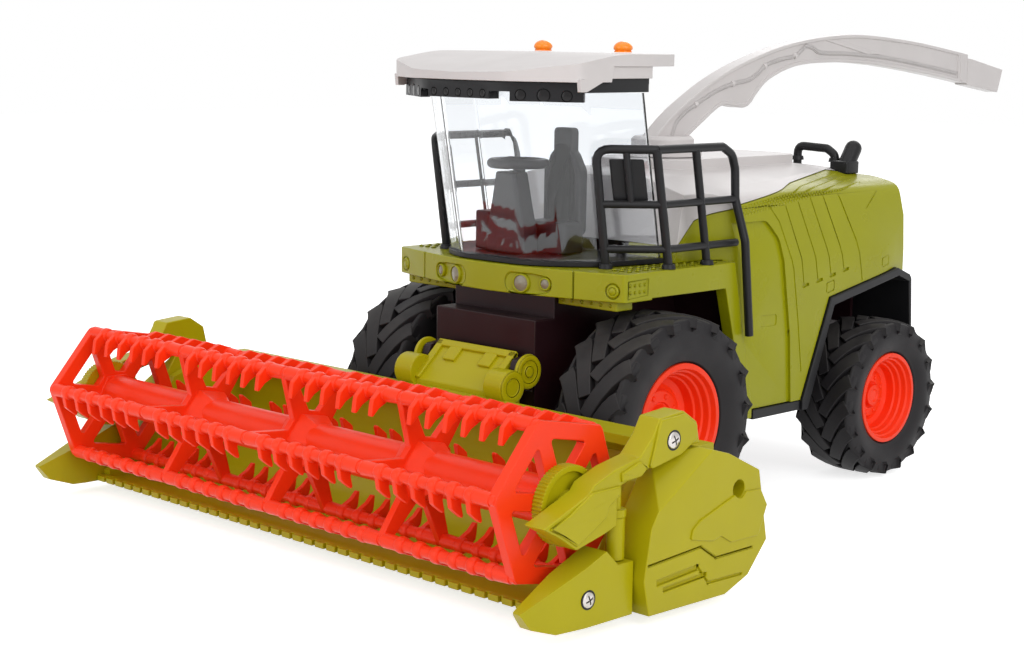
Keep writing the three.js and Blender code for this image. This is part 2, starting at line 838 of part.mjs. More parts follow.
function addCabInterior() {
  const base = floorTopZ + gap;
  const rear = cabRearY - glassWall - cabLean * (seatHeight + 1) - gap;
  const cushion = prism(
    "x",
    [
      [rear - 11.5, base],
      [rear - 13, base + 12, 2],
      [rear - 5.5, base + 11.5],
      [rear - 4.5, base + seatHeight - 1, 1.5],
      [rear, base + seatHeight, 1.5],
      [rear, base + 10],
      [rear - 2, base],
    ],
    seatX - seatHalf,
    seatX + seatHalf,
  );
  add("driver_seat", cushion, slate);
  const consoleY = cabRearY - 30;
  const pedestal = prism(
    "y",
    bothSides([[15.5, base], [10, base + 26, 2]]),
    consoleY - 3.5,
    consoleY + 4.5,
  );
  const sideBox = box([-21, -14], [consoleY - 3, consoleY + 4], [base, base + 29]);
  add("control_console", join(pedestal, sideBox), slate);
  addSteeringWheel(consoleY, base + 26);
}

function addSteeringWheel(y, low) {
  const radius = 9.6;
  const ring = new THREE.TorusGeometry(radius, 1.4, 5, 14).translate(0, 0, 6.6);
  const column = rod([0, 0, gap], [0, 0, 6.6], 2.2, 12);
  const spoke = (angle) => {
    const end = [Math.cos(angle) * radius, Math.sin(angle) * radius, 6.6];
    return rod([0, 0, 5.4], end, 1, 6);
  };
  const spokes = [30, 150, 270].map((degrees) => spoke(THREE.MathUtils.degToRad(degrees)));
  add("steering_wheel", join(solid(ring), column, ...spokes), slate, [0, y, low]);
}

// ---------------------------------------------------------------- railings, mirrors

// A point of the side railing's plane: how far behind the deck's rear edge, and how far up.
function railingAt(offset, height, lean = 0) {
  const foot = deckTopZ + gap;
  const y = deckRearY + offset + lean * (1 - height);
  return [bodyHalf - 2, y, foot + height * (railTop - gap)];
}

// The front corner post, and the post that ends the slanting frame beside the cab.
function cornerPost(height) {
  return railingAt(railingFront, height, postLean);
}

function innerPost(height) {
  const [, y, z] = cornerPost(height);
  return [0.87 * cabHalf + 2.6, y - 16.5 + 1.5 * height, z];
}

// Walkway railing on the deck: a side frame, a slanting front frame and a long grab rail behind.
function addRailings() {
  const outerX = bodyHalf + 2.6;
  const grab = [
    railingAt(-7, 1),
    railingAt(-1.5, 0.93),
    railingAt(0.5, 0.8),
    railingAt(1.2, 0.54),
    [outerX, deckRearY + 1.8, deckTopZ + 7.6],
    [outerX, deckRearY + 6, deckTopZ - 27],
  ];
  const middlePost = (height) => railingAt(railingFront + 21, height, postLean);
  const bar = (height, rearOffset) => tube([cornerPost(height), railingAt(rearOffset, height)], railRadius);
  const crossBar = (height) => tube([cornerPost(height), innerPost(height)], railRadius);
  const hanger = (height) =>
    cornerPost(height).map((value, axis) => (value + innerPost(height)[axis]) / 2);
  const flange = ([x, y, z]) => rod([x, y, z], [x, y, z + 1.6], 2.2);
  const pieces = [
    tube([cornerPost(0), cornerPost(1), ...grab], railRadius),
    tube([middlePost(0), middlePost(1)], railRadius),
    bar(0.54, 0.9),
    bar(0.16, 2.4),
    tube([cornerPost(1), innerPost(1), innerPost(0)], railRadius),
    crossBar(0.54),
    crossBar(0.16),
    rod(hanger(1), hanger(0.54), 1.2),
    flange(cornerPost(0)),
    flange(middlePost(0)),
    flange(innerPost(0)),
  ];
  const below = box([0, outerX - railRadius - gap], [-2 * bodyHalf, bodyHalf], [0, deckTopZ + gap]);
  addPair("railing", join(...pieces).subtract(below), black);
  addMirrors(hanger(1));
}

// Mirror behind the slanting frame, turned with it.
function addMirrors([x, y, z]) {
  const [cornerX, cornerY] = cornerPost(1);
  const [innerX, innerY] = innerPost(1);
  const along = new THREE.Vector2(cornerX - innerX, cornerY - innerY).normalize();
  const behind = railRadius + 2 * gap;
  const corner = (side, depth) => [
    x + (side * mirrorWidth * along.x) / 2 - depth * along.y,
    y + (side * mirrorWidth * along.y) / 2 + depth * along.x,
  ];
  const plan = [
    corner(-1, behind),
    corner(1, behind),
    corner(1, behind + mirrorThickness),
    corner(-1, behind + mirrorThickness),
  ];
  addPair("mirror", leaning(plan, z - 3.5 - mirrorHeight, z - 3.5, z), black);
}

// ---------------------------------------------------------------- spout

// Upper and lower edges of the spout in the side view, from the turret to the flap.
function spoutCurves() {
  const base = turretTopZ + gap;
  const y = (share) => spoutY + share * spoutReach;
  const z = (share) => base + share * spoutRise;
  const upper = [
    [-0.054, 0],
    [-0.002, 0.236],
    [0.052, 0.409],
    [0.117, 0.58],
    [0.202, 0.74],
    [0.308, 0.878],
    [0.42, 0.953],
    [0.531, 0.976],
    [0.685, 0.924],
    [0.8, 0.856],
    [0.88, 0.8],
  ];
  const lower = [
    [0.88, 0.507],
    [0.705, 0.624],
    [0.544, 0.702],
    [0.423, 0.716],
    [0.33, 0.68],
    [0.258, 0.564],
    [0.224, 0.438],
    [0.207, 0.351],
    [0.186, 0.316],
    [0.134, 0.34],
    [0.088, 0.213],
    [0.023, 0],
  ];
  const place = (points) => points.map(([u, v]) => new THREE.Vector2(y(u), z(v)));
  return { upper: place(upper), lower: place(lower), end: y(lower[0][0]), base };
}

function addSpout() {
  const { upper, lower, end, base } = spoutCurves();
  const ring = rod([0, spoutY, hoodTopZ + gap], [0, spoutY, turretTopZ], turretRadius, roundSides);
  add("turret_ring", ring, grey);
  const smooth = (points, count) => new THREE.SplineCurve(points).getPoints(count);
  const outline = [...smooth(upper, 24), ...smooth(lower, 24)].map(({ x, y }) => [x, y]);
  const chute = prism("x", outline, -spoutHalf, spoutHalf);
  const neck = rod([0, spoutY, base], [0, spoutY, base + 4], turretRadius - 3, roundSides);
  add("discharge_spout", join(chute, neck), grey);
  const topZ = upper.at(-1).y;
  const lowZ = lower[0].y;
  const drop = flapLength * 0.18;
  const flap = prism(
    "x",
    [
      [end + gap, lowZ - 0.6],
      [end + gap, topZ + 0.6],
      [end + 5, topZ],
      [end + flapLength + gap, topZ - drop],
      [end + flapLength - 3.5, lowZ - drop + 0.6],
      [end + 5, lowZ - 1.4],
    ],
    -spoutHalf - 0.5,
    spoutHalf + 0.5,
  );
  add("spout_flap", flap, grey);
}

// ---------------------------------------------------------------- pieces on the hood

// Height of the closed hood's light cover above a point, found from its cross section.
function coverHeight(x, y) {
  const needle = box([x - 0.5, x + 0.5], [y - 0.5, y + 0.5], [0, hoodTopZ + 30]);
  return needle.intersect(hoodBody(0)).boundingBox().max[2];
}

function addExhaust() {
  const x = exhaustX;
  const y = hoodRearY - 16;
  const low = coverHeight(x, y);
  const end = [x, y + 6, low + 8.5];
  const pipe = rod([x, y, low + 1], end, 3.4, 16);
  const tip = ball(end, 3.45);
  const foot = box([x - 4.4, x + 4.4], [y - 4, y + 3], [low - 6, low + 3.5]);
  const cut = hoodBody(-gap);
  add("exhaust_pipe", join(pipe, tip, foot).subtract(cut), black);
}

function addRearHandle() {
  const y = hoodRearY - 13;
  const ends = [exhaustX - 25, exhaustX - 6.5];
  const feet = ends.map((x) => coverHeight(x, y));
  const loop = tube(
    [
      [ends[0], y, feet[0] - 4],
      [ends[0], y, feet[0] + 6.5],
      [ends[0] + 3, y, feet[0] + 9],
      [ends[1] - 5, y, feet[0] + 8.2],
      [ends[1], y, feet[1] + 6.5],
      [ends[1], y, feet[1] - 4],
    ],
    1.7,
  );
  add("rear_handle", loop.subtract(hoodBody(-gap)), black);
}

// ---------------------------------------------------------------- header

function addFeeder() {
  const frontY = headerBackY + gap;
  const neck = prism(
    "x",
    [
      [liftPivotY + 1.2, liftPivotZ + 5.6],
      [liftPivotY + 2.6, liftPivotZ - 4],
      [liftPivotY + 2.6, liftPivotZ - 27],
      [frontY, headerBottomZ + 9],
      [frontY, headerTopZ + 0.9],
    ],
    -feederHalf,
    feederHalf,
  );
  const cheek = (side) =>
    box(
      side > 0 ? [feederHalf - 1, feederHalf + 7] : [-feederHalf - 7, -feederHalf + 1],
      [frontY, Math.min(frontY + 5, liftPivotY - 6.5)],
      [headerBottomZ + 15, headerTopZ + 7],
    );
  const pinEnd = feederHalf + 1 + lugThickness;
  const pin = rod(
    [-pinEnd, liftPivotY, liftPivotZ],
    [pinEnd, liftPivotY, liftPivotZ],
    liftPinRadius,
    roundSides,
  );
  add("feeder_house", join(neck, cheek(1), cheek(-1), pin), olive);
}

// Trough across the header: back wall with a beam on top, rounded heel, flat floor, end walls.
function addTrough() {
  const frontY = headerBackY - headerDepth;
  const floor = headerBottomZ + troughWall;
  const back = headerBackY;
  const top = headerTopZ - 0.9;
  const section = [
    [back, top],
    [back, headerBottomZ + 14],
    [back - 6, headerBottomZ + 2, 3],
    [back - 13, headerBottomZ],
    [frontY + 10, headerBottomZ],
    [frontY, headerBottomZ + 1.2],
    [frontY, floor - 0.5],
    [back - 22, floor, 8],
    [back - troughWall, headerBottomZ + 20, 8],
    [back - troughWall, top - 8],
    [back - 13, top - 3],
    [back - 13, top],
  ];
  const pan = prism("x", section, -troughHalf - 1, troughHalf + 1);
  const end = prism(
    "x",
    [
      [back, top],
      [back, headerBottomZ + 14],
      [back - 6, headerBottomZ + 2],
      [back - 13, headerBottomZ],
      [frontY + 10, headerBottomZ],
      [frontY, headerBottomZ + 1.2],
      [frontY, headerBottomZ + 5],
      [reelY + 14.5, headerBottomZ + 15],
      [reelY + 28.5, headerBottomZ + 37],
      [back - 18, top],
    ],
    troughHalf,
    coverInnerX - gap,
  );
  add("header_trough", join(pan, end, mirror(end)), olive);
}

function addCutterBar() {
  const rearY = headerBackY - headerDepth - gap;
  const half = coverInnerX - 2 * gap;
  const blade = prism(
    "x",
    [
      [rearY, headerBottomZ + 1.4],
      [rearY, headerBottomZ + 3.6],
      [rearY - 3.4, headerBottomZ + 3],
      [rearY - 3.4, headerBottomZ + 1.4],
    ],
    -half,
    half,
  );
  add("cutter_bar", blade, olive);
}

function addSideCovers() {
  const back = headerBackY;
  const frontY = reelY + 17.4;
  const cover = prism(
    "x",
    [
      [back - 32.4, headerTopZ + 0.2],
      [back - 19.6, headerTopZ + 2.3],
      [back - 9, headerTopZ - 0.8],
      [back + 6.1, headerTopZ - 8],
      [back + 10.9, headerBottomZ + 13.8],
      [back + 1.9, headerBottomZ + 4],
      [back - 9.2, headerBottomZ],
      [frontY + 2.6, headerBottomZ + 0.4],
      [frontY, headerBottomZ + 11.4],
      [frontY + 2.9, headerBottomZ + 26.4],
    ],
    coverInnerX,
    headerHalf,
  );
  // The upper front corner slopes inwards from the outer face.
  const casing = below(
    cover,
    [headerHalf, frontY, headerBottomZ + 27.4],
    [headerHalf, back - 22.5, headerTopZ - 1.6],
    [coverInnerX + 1.5, back - 32.4, headerTopZ + 0.2],
  );
  const [socketY, socketZ] = [back - 3.9, headerTopZ - 12.5];
  const socket = rod([headerHalf - 5, socketY, socketZ], [headerHalf + 1, socketY, socketZ], 2.8, 16);
  addPair("side_cover", casing.subtract(socket), olive);
}

// Pointed crop divider in front of each side cover, with a level shelf for the reel post.
function dividerShelfZ() {
  return headerBottomZ + 17;
}

function addDividers() {
  const rearY = reelY + 17.4 - gap;
  const tipY = reelY - 26.7;
  const side = prism(
    "x",
    [
      [rearY, headerBottomZ + 1],
      [rearY, dividerShelfZ()],
      [rearY - 6.6, dividerShelfZ()],
      [rearY - 11.6, headerBottomZ + 21.9],
      [tipY, headerBottomZ + 9.1],
      [tipY + 4, headerBottomZ + 4],
      [tipY + 13, headerBottomZ + 1],
    ],
    coverInnerX,
    headerHalf - 4,
  );
  const plan = prism(
    "z",
    [
      [coverInnerX, rearY + 1],
      [headerHalf - 4, rearY + 1],
      [headerHalf - 4, rearY - 20],
      [headerHalf - 7, tipY, 1],
      [headerHalf - 10, tipY, 1],
      [coverInnerX, rearY - 26],
    ],
    0,
    headerTopZ,
  );
  addPair("divider", side.intersect(plan), olive);
}

// Arm from a block on the side cover forward to the reel's bearing.
function addReelArms() {
  const innerX = reelHalf + discThickness + 3 * gap;
  const foot = headerTopZ + 2.9;
  const arm = prism(
    "x",
    [
      [headerBackY - 17.6, foot],
      [headerBackY - 19.2, foot + 6.8],
      [headerBackY - 25.3, foot + 10.8],
      [headerBackY - 36.3, foot + 9.9],
      [headerBackY - 39.3, foot + 4.8],
      [headerBackY - 44.7, foot - 0.5],
      [reelY + 9.5, reelZ + 10.7],
      [reelY + 0.3, reelZ + 7.5],
      [reelY - 1.6, reelZ + 5.2],
      [reelY - 10, reelZ + 1.9],
      [reelY - 20, reelZ - 1.8],
      [reelY - 12.8, reelZ - 5.8],
      [reelY - 6.3, reelZ - 10.2],
      [reelY + 5.5, reelZ - 7.5],
      [reelY + 10.5, reelZ - 5.9],
      [reelY + 10.5, reelZ + 5.2],
      [headerBackY - 41, foot - 4.6],
      [headerBackY - 34, foot],
    ],
    innerX,
    innerX + armThickness,
  );
  const bearing = rod(
    [innerX - 1, reelY, reelZ],
    [innerX + 5.3, reelY, reelZ],
    reelShaftRadius + gap,
    roundSides,
  );
  addPair("reel_arm", arm.subtract(bearing), olive);
}

// Plain lift strut under each arm: a barrel on the divider's shelf and a thin rod.
function addReelPosts() {
  const x = coverInnerX + 4.6;
  const y = reelY + 17.4 - gap - 3.2;
  const low = dividerShelfZ() + gap;
  const underArm = reelZ + 6.7;
  const strut = join(
    rod([x, y, low], [x, y, low + 15], postRadius, 14),
    rod([x, y, low + 14], [x, y, underArm], postRodRadius, 12),
  );
  const arm = armUnderside();
  addPair("reel_post", strut.subtract(arm), olive);
}

// The space from just under the reel arm upwards, which the post's rod stops at.
function armUnderside() {
  const foot = headerTopZ + 2.9;
  const line = [
    [reelY + 10.5, reelZ + 5.2 - gap],
    [headerBackY - 41, foot - 4.6 - gap],
  ];
  const high = 3 * headerTopZ;
  return prism("x", [...line, [line[1][0], high], [line[0][0], high]], 0, headerHalf + 10);
}

// ---------------------------------------------------------------- reel

function reelCorner(index, radius) {
  const angle = THREE.MathUtils.degToRad(reelPhase + 60 * index);
  return [reelY + radius * Math.cos(angle), reelZ + radius * Math.sin(angle)];
}

// Hexagonal ring with six spokes; the bars lie against its corners.
function reelPlateAt(x, ringWidth) {
  const corners = (radius) => [0, 1, 2, 3, 4, 5].map((i) => reelCorner(i, radius));
  const plateRadius = reelRadius - reelBarRadius - gap;
  const low = x - reelPlate / 2;
  const high = x + reelPlate / 2;
  const outer = prism("x", corners(plateRadius), low, high);
  const window = prism("x", corners(plateRadius - ringWidth), low - 1, high + 1);
  const spokes = [0, 1, 2, 3, 4, 5].map((i) => {
    const [y, z] = reelCorner(i, plateRadius - 1);
    const across = new THREE.Vector2(z - reelZ, reelY - y).setLength(1.6);
    const points = [
      [reelY + across.x, reelZ + across.y],
      [y + across.x, z + across.y],
      [y - across.x, z - across.y],
      [reelY - across.x, reelZ - across.y],
    ];
    return prism("x", points, low, high);
  });
  return join(outer.subtract(window), ...spokes);
}

function addReel() {
  const plates = [-1, -0.5, 0, 0.5, 1].map((share) =>
    reelPlateAt(share * (reelHalf - reelPlate / 2), Math.abs(share) === 1 ? 3.6 : 2.6),
  );
  const core = rod([-reelHalf, reelY, reelZ], [reelHalf, reelY, reelZ], reelTubeRadius, roundSides);
  const shaftEnd = reelHalf + discThickness + 3 * gap + 5;
  const shaft = rod([-shaftEnd, reelY, reelZ], [shaftEnd, reelY, reelZ], reelShaftRadius, roundSides);
  add("reel", join(...plates, core, shaft), orange);
  [0, 1, 2, 3, 4, 5].forEach((i) => {
    const [y, z] = reelCorner(i, reelRadius);
    add(`reel_bar_${i + 1}`, rod([-reelHalf, y, z], [reelHalf, y, z], reelBarRadius, 8), orange);
  });
  const low = reelHalf + gap;
  const high = low + discThickness;
  const disc = rod([low, reelY, reelZ], [high, reelY, reelZ], discRadius, wheelSides);
  const hole = rod([low - 1, reelY, reelZ], [high + 1, reelY, reelZ], reelShaftRadius + gap, roundSides);
  addPair("reel_disc", disc.subtract(hole), olive);
}

// ---------------------------------------------------------------- assembly

addWheels();
addFrontAxle();
addRearAxle();
addKnuckles();
addChassis();
addBatteryBox();
addHood();
addRearArches();
addRunningBoards();
addFrontDeck();
addCab();
addCabInterior();
addRailings();
addSpout();
addExhaust();
addRearHandle();
addFeeder();
addTrough();
addCutterBar();
addSideCovers();
addDividers();
addReelArms();
addReelPosts();
addReel();

export default harvester;
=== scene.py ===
import math

import bmesh
import bpy
from bpy.props import FloatProperty, FloatVectorProperty, IntProperty, PointerProperty
from mathutils import Matrix, Vector
from mathutils.bvhtree import BVHTree


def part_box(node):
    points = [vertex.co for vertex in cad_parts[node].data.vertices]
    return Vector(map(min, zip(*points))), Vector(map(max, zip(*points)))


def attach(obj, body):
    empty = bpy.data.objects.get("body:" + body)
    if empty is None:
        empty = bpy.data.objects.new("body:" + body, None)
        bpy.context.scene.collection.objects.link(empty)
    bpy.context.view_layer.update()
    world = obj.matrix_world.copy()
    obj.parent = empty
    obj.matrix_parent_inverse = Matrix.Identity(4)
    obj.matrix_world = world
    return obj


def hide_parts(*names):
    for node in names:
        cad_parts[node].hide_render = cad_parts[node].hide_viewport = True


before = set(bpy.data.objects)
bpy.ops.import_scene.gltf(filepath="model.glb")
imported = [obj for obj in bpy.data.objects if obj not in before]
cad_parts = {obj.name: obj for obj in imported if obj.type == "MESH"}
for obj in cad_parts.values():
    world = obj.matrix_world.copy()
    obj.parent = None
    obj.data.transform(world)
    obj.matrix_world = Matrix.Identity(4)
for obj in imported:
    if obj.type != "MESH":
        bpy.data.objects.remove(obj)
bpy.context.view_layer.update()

bl_info = {
    "name": "Toy Harvester",
    "version": (1, 0, 0),
    "blender": (4, 5, 0),
    "location": "3D View > Sidebar > Harvester",
    "description": "Builds a moulded plastic toy harvester round its CAD model",
    "category": "Object",
}

MM = 0.001
SIDES = (("left", 1), ("right", -1))


# Solids: corners in millimetres and faces, before they become a mesh.


def merge(solids):
    """One solid out of several."""
    corners = []
    faces = []
    for more_corners, more_faces in solids:
        start = len(corners)
        corners.extend(more_corners)
        faces.extend(tuple(start + i for i in face) for face in more_faces)
    return corners, faces


def mirrored(solid):
    """The same solid on the other side of the middle plane."""
    corners, faces = solid
    return [(-x, y, z) for x, y, z in corners], [tuple(reversed(face)) for face in faces]


def both_sides(solids):
    """Those solids and their mirror images."""
    return solids + [mirrored(s) for s in solids]


def sided(solids, side):
    """Solids made for the left, on the side that is asked for."""
    return solids if side > 0 else [mirrored(s) for s in solids]


def moved(solid, matrix):
    """The solid turned and shifted by a matrix."""
    corners, faces = solid
    return [tuple(matrix @ Vector(c)) for c in corners], faces


def rounded(points, steps=4):
    """A flat outline with its corners rounded. Each point is (a, b) or (a, b, radius)."""
    outline = []
    count = len(points)
    for i, point in enumerate(points):
        here = Vector(point[:2])
        if len(point) < 3:
            outline.append(tuple(here))
            continue
        before = Vector(points[i - 1][:2]) - here
        after = Vector(points[(i + 1) % count][:2]) - here
        half = before.angle(after) / 2
        reach = min(point[2] / math.tan(half), before.length * 0.49, after.length * 0.49)
        radius = reach * math.tan(half)
        middle = (before.normalized() + after.normalized()).normalized()
        centre = here + middle * (reach / math.cos(half))
        start = here + before.normalized() * reach - centre
        end = here + after.normalized() * reach - centre
        turn = start.angle_signed(end)
        for k in range(steps + 1):
            arm = Matrix.Rotation(-turn * k / steps, 2) @ start
            outline.append(tuple(centre + arm.normalized() * radius))
    return outline


def evened(outline, radius, steps=3):
    """An outline with the same rounding on every corner."""
    return rounded([(p[0], p[1], radius) for p in outline], steps)


def prism(outline, low, high, axis="x"):
    """A flat outline swept along an axis. Its two numbers are the other two axes in order."""
    place = {
        "x": lambda a, b, c: (c, a, b),
        "y": lambda a, b, c: (a, c, b),
        "z": lambda a, b, c: (a, b, c),
    }[axis]
    n = len(outline)
    corners = [place(a, b, low) for a, b in outline] + [place(a, b, high) for a, b in outline]
    faces = [tuple(range(n)), tuple(range(2 * n - 1, n - 1, -1))]
    faces += [(i, (i + 1) % n, n + (i + 1) % n, n + i) for i in range(n)]
    return corners, faces


def block(x, y, z, corner=0.0):
    """A block between two bounds on each axis, with rounded upright corners."""
    outline = [(x[0], y[0]), (x[1], y[0]), (x[1], y[1]), (x[0], y[1])]
    return prism(evened(outline, corner) if corner else outline, z[0], z[1], "z")


def loft(rings, closed=False):
    """A skin over rings of equally many corners, with both ends filled unless it is closed."""
    n = len(rings[0])
    corners = [tuple(c) for ring in rings for c in ring]
    faces = []
    for k in range(len(rings) if closed else len(rings) - 1):
        a = k * n
        b = (k + 1) % len(rings) * n
        faces += [(a + i, a + (i + 1) % n, b + (i + 1) % n, b + i) for i in range(n)]
    if not closed:
        faces += [tuple(range(n - 1, -1, -1)), tuple(range((len(rings) - 1) * n, len(rings) * n))]
    return corners, faces


def lathe(profile, centre, axis="x", steps=64, ring=False):
    """A profile of (along, radius) turned about an axis through centre. A ring has no ends."""
    rings = []
    for along, radius in profile:
        row = []
        for k in range(steps):
            a = 2 * math.pi * k / steps
            u = radius * math.cos(a)
            v = radius * math.sin(a)
            offset = {"x": (along, u, v), "y": (u, along, v), "z": (u, v, along)}[axis]
            row.append(tuple(Vector(centre) + Vector(offset)))
        rings.append(row)
    return loft(rings, ring)


def bent(path, radius, steps=5):
    """A path in space with its inner corners rounded."""
    points = [Vector(p) for p in path]
    out = [points[0]]
    for before, here, after in zip(points, points[1:], points[2:]):
        a = before - here
        b = after - here
        half = a.angle(b) / 2
        if half > math.radians(88):
            out.append(here)
            continue
        reach = min(radius / math.tan(half), a.length * 0.49, b.length * 0.49)
        start = here + a.normalized() * reach
        end = here + b.normalized() * reach
        for k in range(steps + 1):
            t = k / steps
            out.append(start * (1 - t) ** 2 + here * 2 * t * (1 - t) + end * t * t)
    out.append(points[-1])
    return out


def tube(path, radius, sides=14, closed=False):
    """A round bar along a path. The radius may be one number or one for each point."""
    points = [Vector(p) for p in path]
    last = len(points) - 1
    radii = radius if isinstance(radius, (list, tuple)) else [radius] * (last + 1)
    side = None
    rings = []
    for i, point in enumerate(points):
        ahead = points[(i + 1) % (last + 1)] if closed else points[min(i + 1, last)]
        behind = points[i - 1] if closed or i else points[0]
        along = (ahead - behind).normalized()
        if side is None:
            side = along.orthogonal().normalized()
        side = (side - along * side.dot(along)).normalized()
        other = along.cross(side)
        turns = [2 * math.pi * k / sides for k in range(sides)]
        rings.append([point + (side * math.cos(a) + other * math.sin(a)) * radii[i] for a in turns])
    return loft(rings, closed)


def dome(centre, radius, height, towards, sides=16, rows=3):
    """A low round button that stands on a surface and faces towards a direction."""
    up = Vector(towards).normalized()
    profile = [(0.0, radius)]
    for k in range(1, rows + 1):
        a = math.pi / 2 * k / rows
        profile.append((height * math.sin(a), max(radius * math.cos(a), radius * 0.08)))
    path = [Vector(centre) + up * along for along, _ in profile]
    return tube([Vector(centre) - up * 0.6] + path, [radius] + [r for _, r in profile], sides)


def node_box(name):
    """A CAD node's lowest and highest corner in millimetres."""
    low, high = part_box(name)
    return Vector(low) / MM, Vector(high) / MM


def node_solid(name):
    """A CAD node's own solid in millimetres, with its flat facets joined into whole faces."""
    shape = bmesh.new()
    shape.from_mesh(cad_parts[name].data)
    bmesh.ops.remove_doubles(shape, verts=shape.verts, dist=1e-6)
    bmesh.ops.dissolve_limit(
        shape, angle_limit=math.radians(0.4), verts=shape.verts, edges=shape.edges
    )
    corners = [tuple(v.co / MM) for v in shape.verts]
    faces = [tuple(v.index for v in face.verts) for face in shape.faces]
    shape.free()
    return corners, faces


def loose_object(solid, scale=1.0):
    """An object of that solid, with its faces turned outwards."""
    shape = bmesh.new()
    corners = [shape.verts.new(Vector(c) * scale) for c in solid[0]]
    for face in solid[1]:
        try:
            shape.faces.new([corners[i] for i in face])
        except ValueError:
            continue
    bmesh.ops.recalc_face_normals(shape, faces=shape.faces)
    mesh = bpy.data.meshes.new("loose")
    shape.to_mesh(mesh)
    shape.free()
    made = bpy.data.objects.new("loose", mesh)
    bpy.context.scene.collection.objects.link(made)
    return made


def carve(solid, cutters):
    """The solid with the cutters taken out of it."""
    base = loose_object(solid)
    tool = loose_object(merge(cutters))
    cut = base.modifiers.new("Carve", "BOOLEAN")
    cut.operation = "DIFFERENCE"
    cut.solver = "EXACT"
    cut.use_self = True
    cut.object = tool
    mesh = base.evaluated_get(bpy.context.evaluated_depsgraph_get()).to_mesh()
    corners = [tuple(v.co) for v in mesh.vertices]
    faces = [tuple(face.vertices) for face in mesh.polygons]
    if len(faces) < 4:
        raise RuntimeError("a cutter took the whole solid away")
    for used in (base, tool):
        shape = used.data
        bpy.data.objects.remove(used)
        bpy.data.meshes.remove(shape)
    return corners, faces


def strays(made, reach):
    """Whether a softened mesh leaves its own plain shape by more than a distance."""
    shape = made.data
    faces = [tuple(face.vertices) for face in shape.polygons]
    tree = BVHTree.FromPolygons([v.co for v in shape.vertices], faces)
    softened = made.evaluated_get(bpy.context.evaluated_depsgraph_get()).to_mesh()
    return any(tree.find_nearest(v.co)[3] > reach for v in softened.vertices)


def soften(made, width, segments=2, angle=32):
    """Rounds an object's sharp edges by a width in millimetres, or by less where it has to."""
    bevel = made.modifiers.new("Soft edges", "BEVEL")
    bevel.segments = segments
    bevel.limit_method = "ANGLE"
    bevel.angle_limit = math.radians(angle)
    bevel.use_clamp_overlap = False
    bevel.harden_normals = True
    for share in (1.0, 0.6, 0.35):
        bevel.width = width * share * MM
        if not strays(made, bevel.width * 1.3):
            return
    bevel.width = width * MM
    bevel.use_clamp_overlap = True


def piece(name, solids, body, finish, nodes=(), soft=0.3, segments=2):
    """One finished piece that rides on a body and stands for its CAD nodes."""
    made = loose_object(merge(solids), MM)
    made.name = name
    made.data.name = name
    made.data.polygons.foreach_set("use_smooth", [True] * len(made.data.polygons))
    made.data.materials.append(FINISHES[finish])
    if soft:
        soften(made, soft, segments)
    else:
        made.data.set_sharp_from_angle(angle=math.radians(35))
    if nodes:
        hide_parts(*nodes)
    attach(made, body)
    return made


def keep_node(name, finish, soft=0.3):
    """A CAD node whose own shape stays, with softened edges and a better finish."""
    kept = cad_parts[name]
    for place in kept.material_slots:
        place.material = FINISHES[finish]
    weld = kept.modifiers.new("Weld", "WELD")
    weld.merge_threshold = 1e-6
    if soft:
        soften(kept, soft)


# Finishes: shared effects as node groups, and one material for each plastic.

FINISHES = {}
EFFECTS = {}


def shade(red, green, blue):
    """A colour given as it shows on a screen, from 0 to 255, as Blender keeps it."""
    return tuple(
        v / 12.92 if v <= 0.04045 else ((v + 0.055) / 1.055) ** 2.4
        for v in (red / 255, green / 255, blue / 255)
    )


def new_effect(name, inputs, outputs):
    """An empty node group with named sockets. Returns it with its two ends."""
    group = bpy.data.node_groups.new(name, "ShaderNodeTree")
    for direction, sockets in (("INPUT", inputs), ("OUTPUT", outputs)):
        for socket_name, kind, default in sockets:
            socket = group.interface.new_socket(
                name=socket_name, in_out=direction, socket_type=kind
            )
            if default is not None:
                socket.default_value = default
    start = group.nodes.new("NodeGroupInput")
    end = group.nodes.new("NodeGroupOutput")
    EFFECTS[name] = group
    return group, start, end


def add(tree, kind, **settings):
    """A new node with its properties set."""
    node = tree.nodes.new(kind)
    for key, value in settings.items():
        setattr(node, key, value)
    return node


def noise(tree, scale, detail=3.0):
    """Noise laid out over the object's own coordinates. Its scale may be a socket."""
    place = add(tree, "ShaderNodeTexCoord")
    grain = add(tree, "ShaderNodeTexNoise")
    grain.inputs["Detail"].default_value = detail
    tree.links.new(place.outputs["Object"], grain.inputs["Vector"])
    if isinstance(scale, bpy.types.NodeSocket):
        tree.links.new(scale, grain.inputs["Scale"])
    else:
        grain.inputs["Scale"].default_value = scale
    return grain.outputs["Fac"]


def spread(tree, value, low, high):
    """Stretches the middle of a noise value between two sockets or numbers."""
    node = add(tree, "ShaderNodeMapRange")
    node.inputs["From Min"].default_value = 0.3
    node.inputs["From Max"].default_value = 0.7
    tree.links.new(value, node.inputs["Value"])
    for key, bound in (("To Min", low), ("To Max", high)):
        if isinstance(bound, bpy.types.NodeSocket):
            tree.links.new(bound, node.inputs[key])
        else:
            node.inputs[key].default_value = bound
    return node.outputs["Result"]


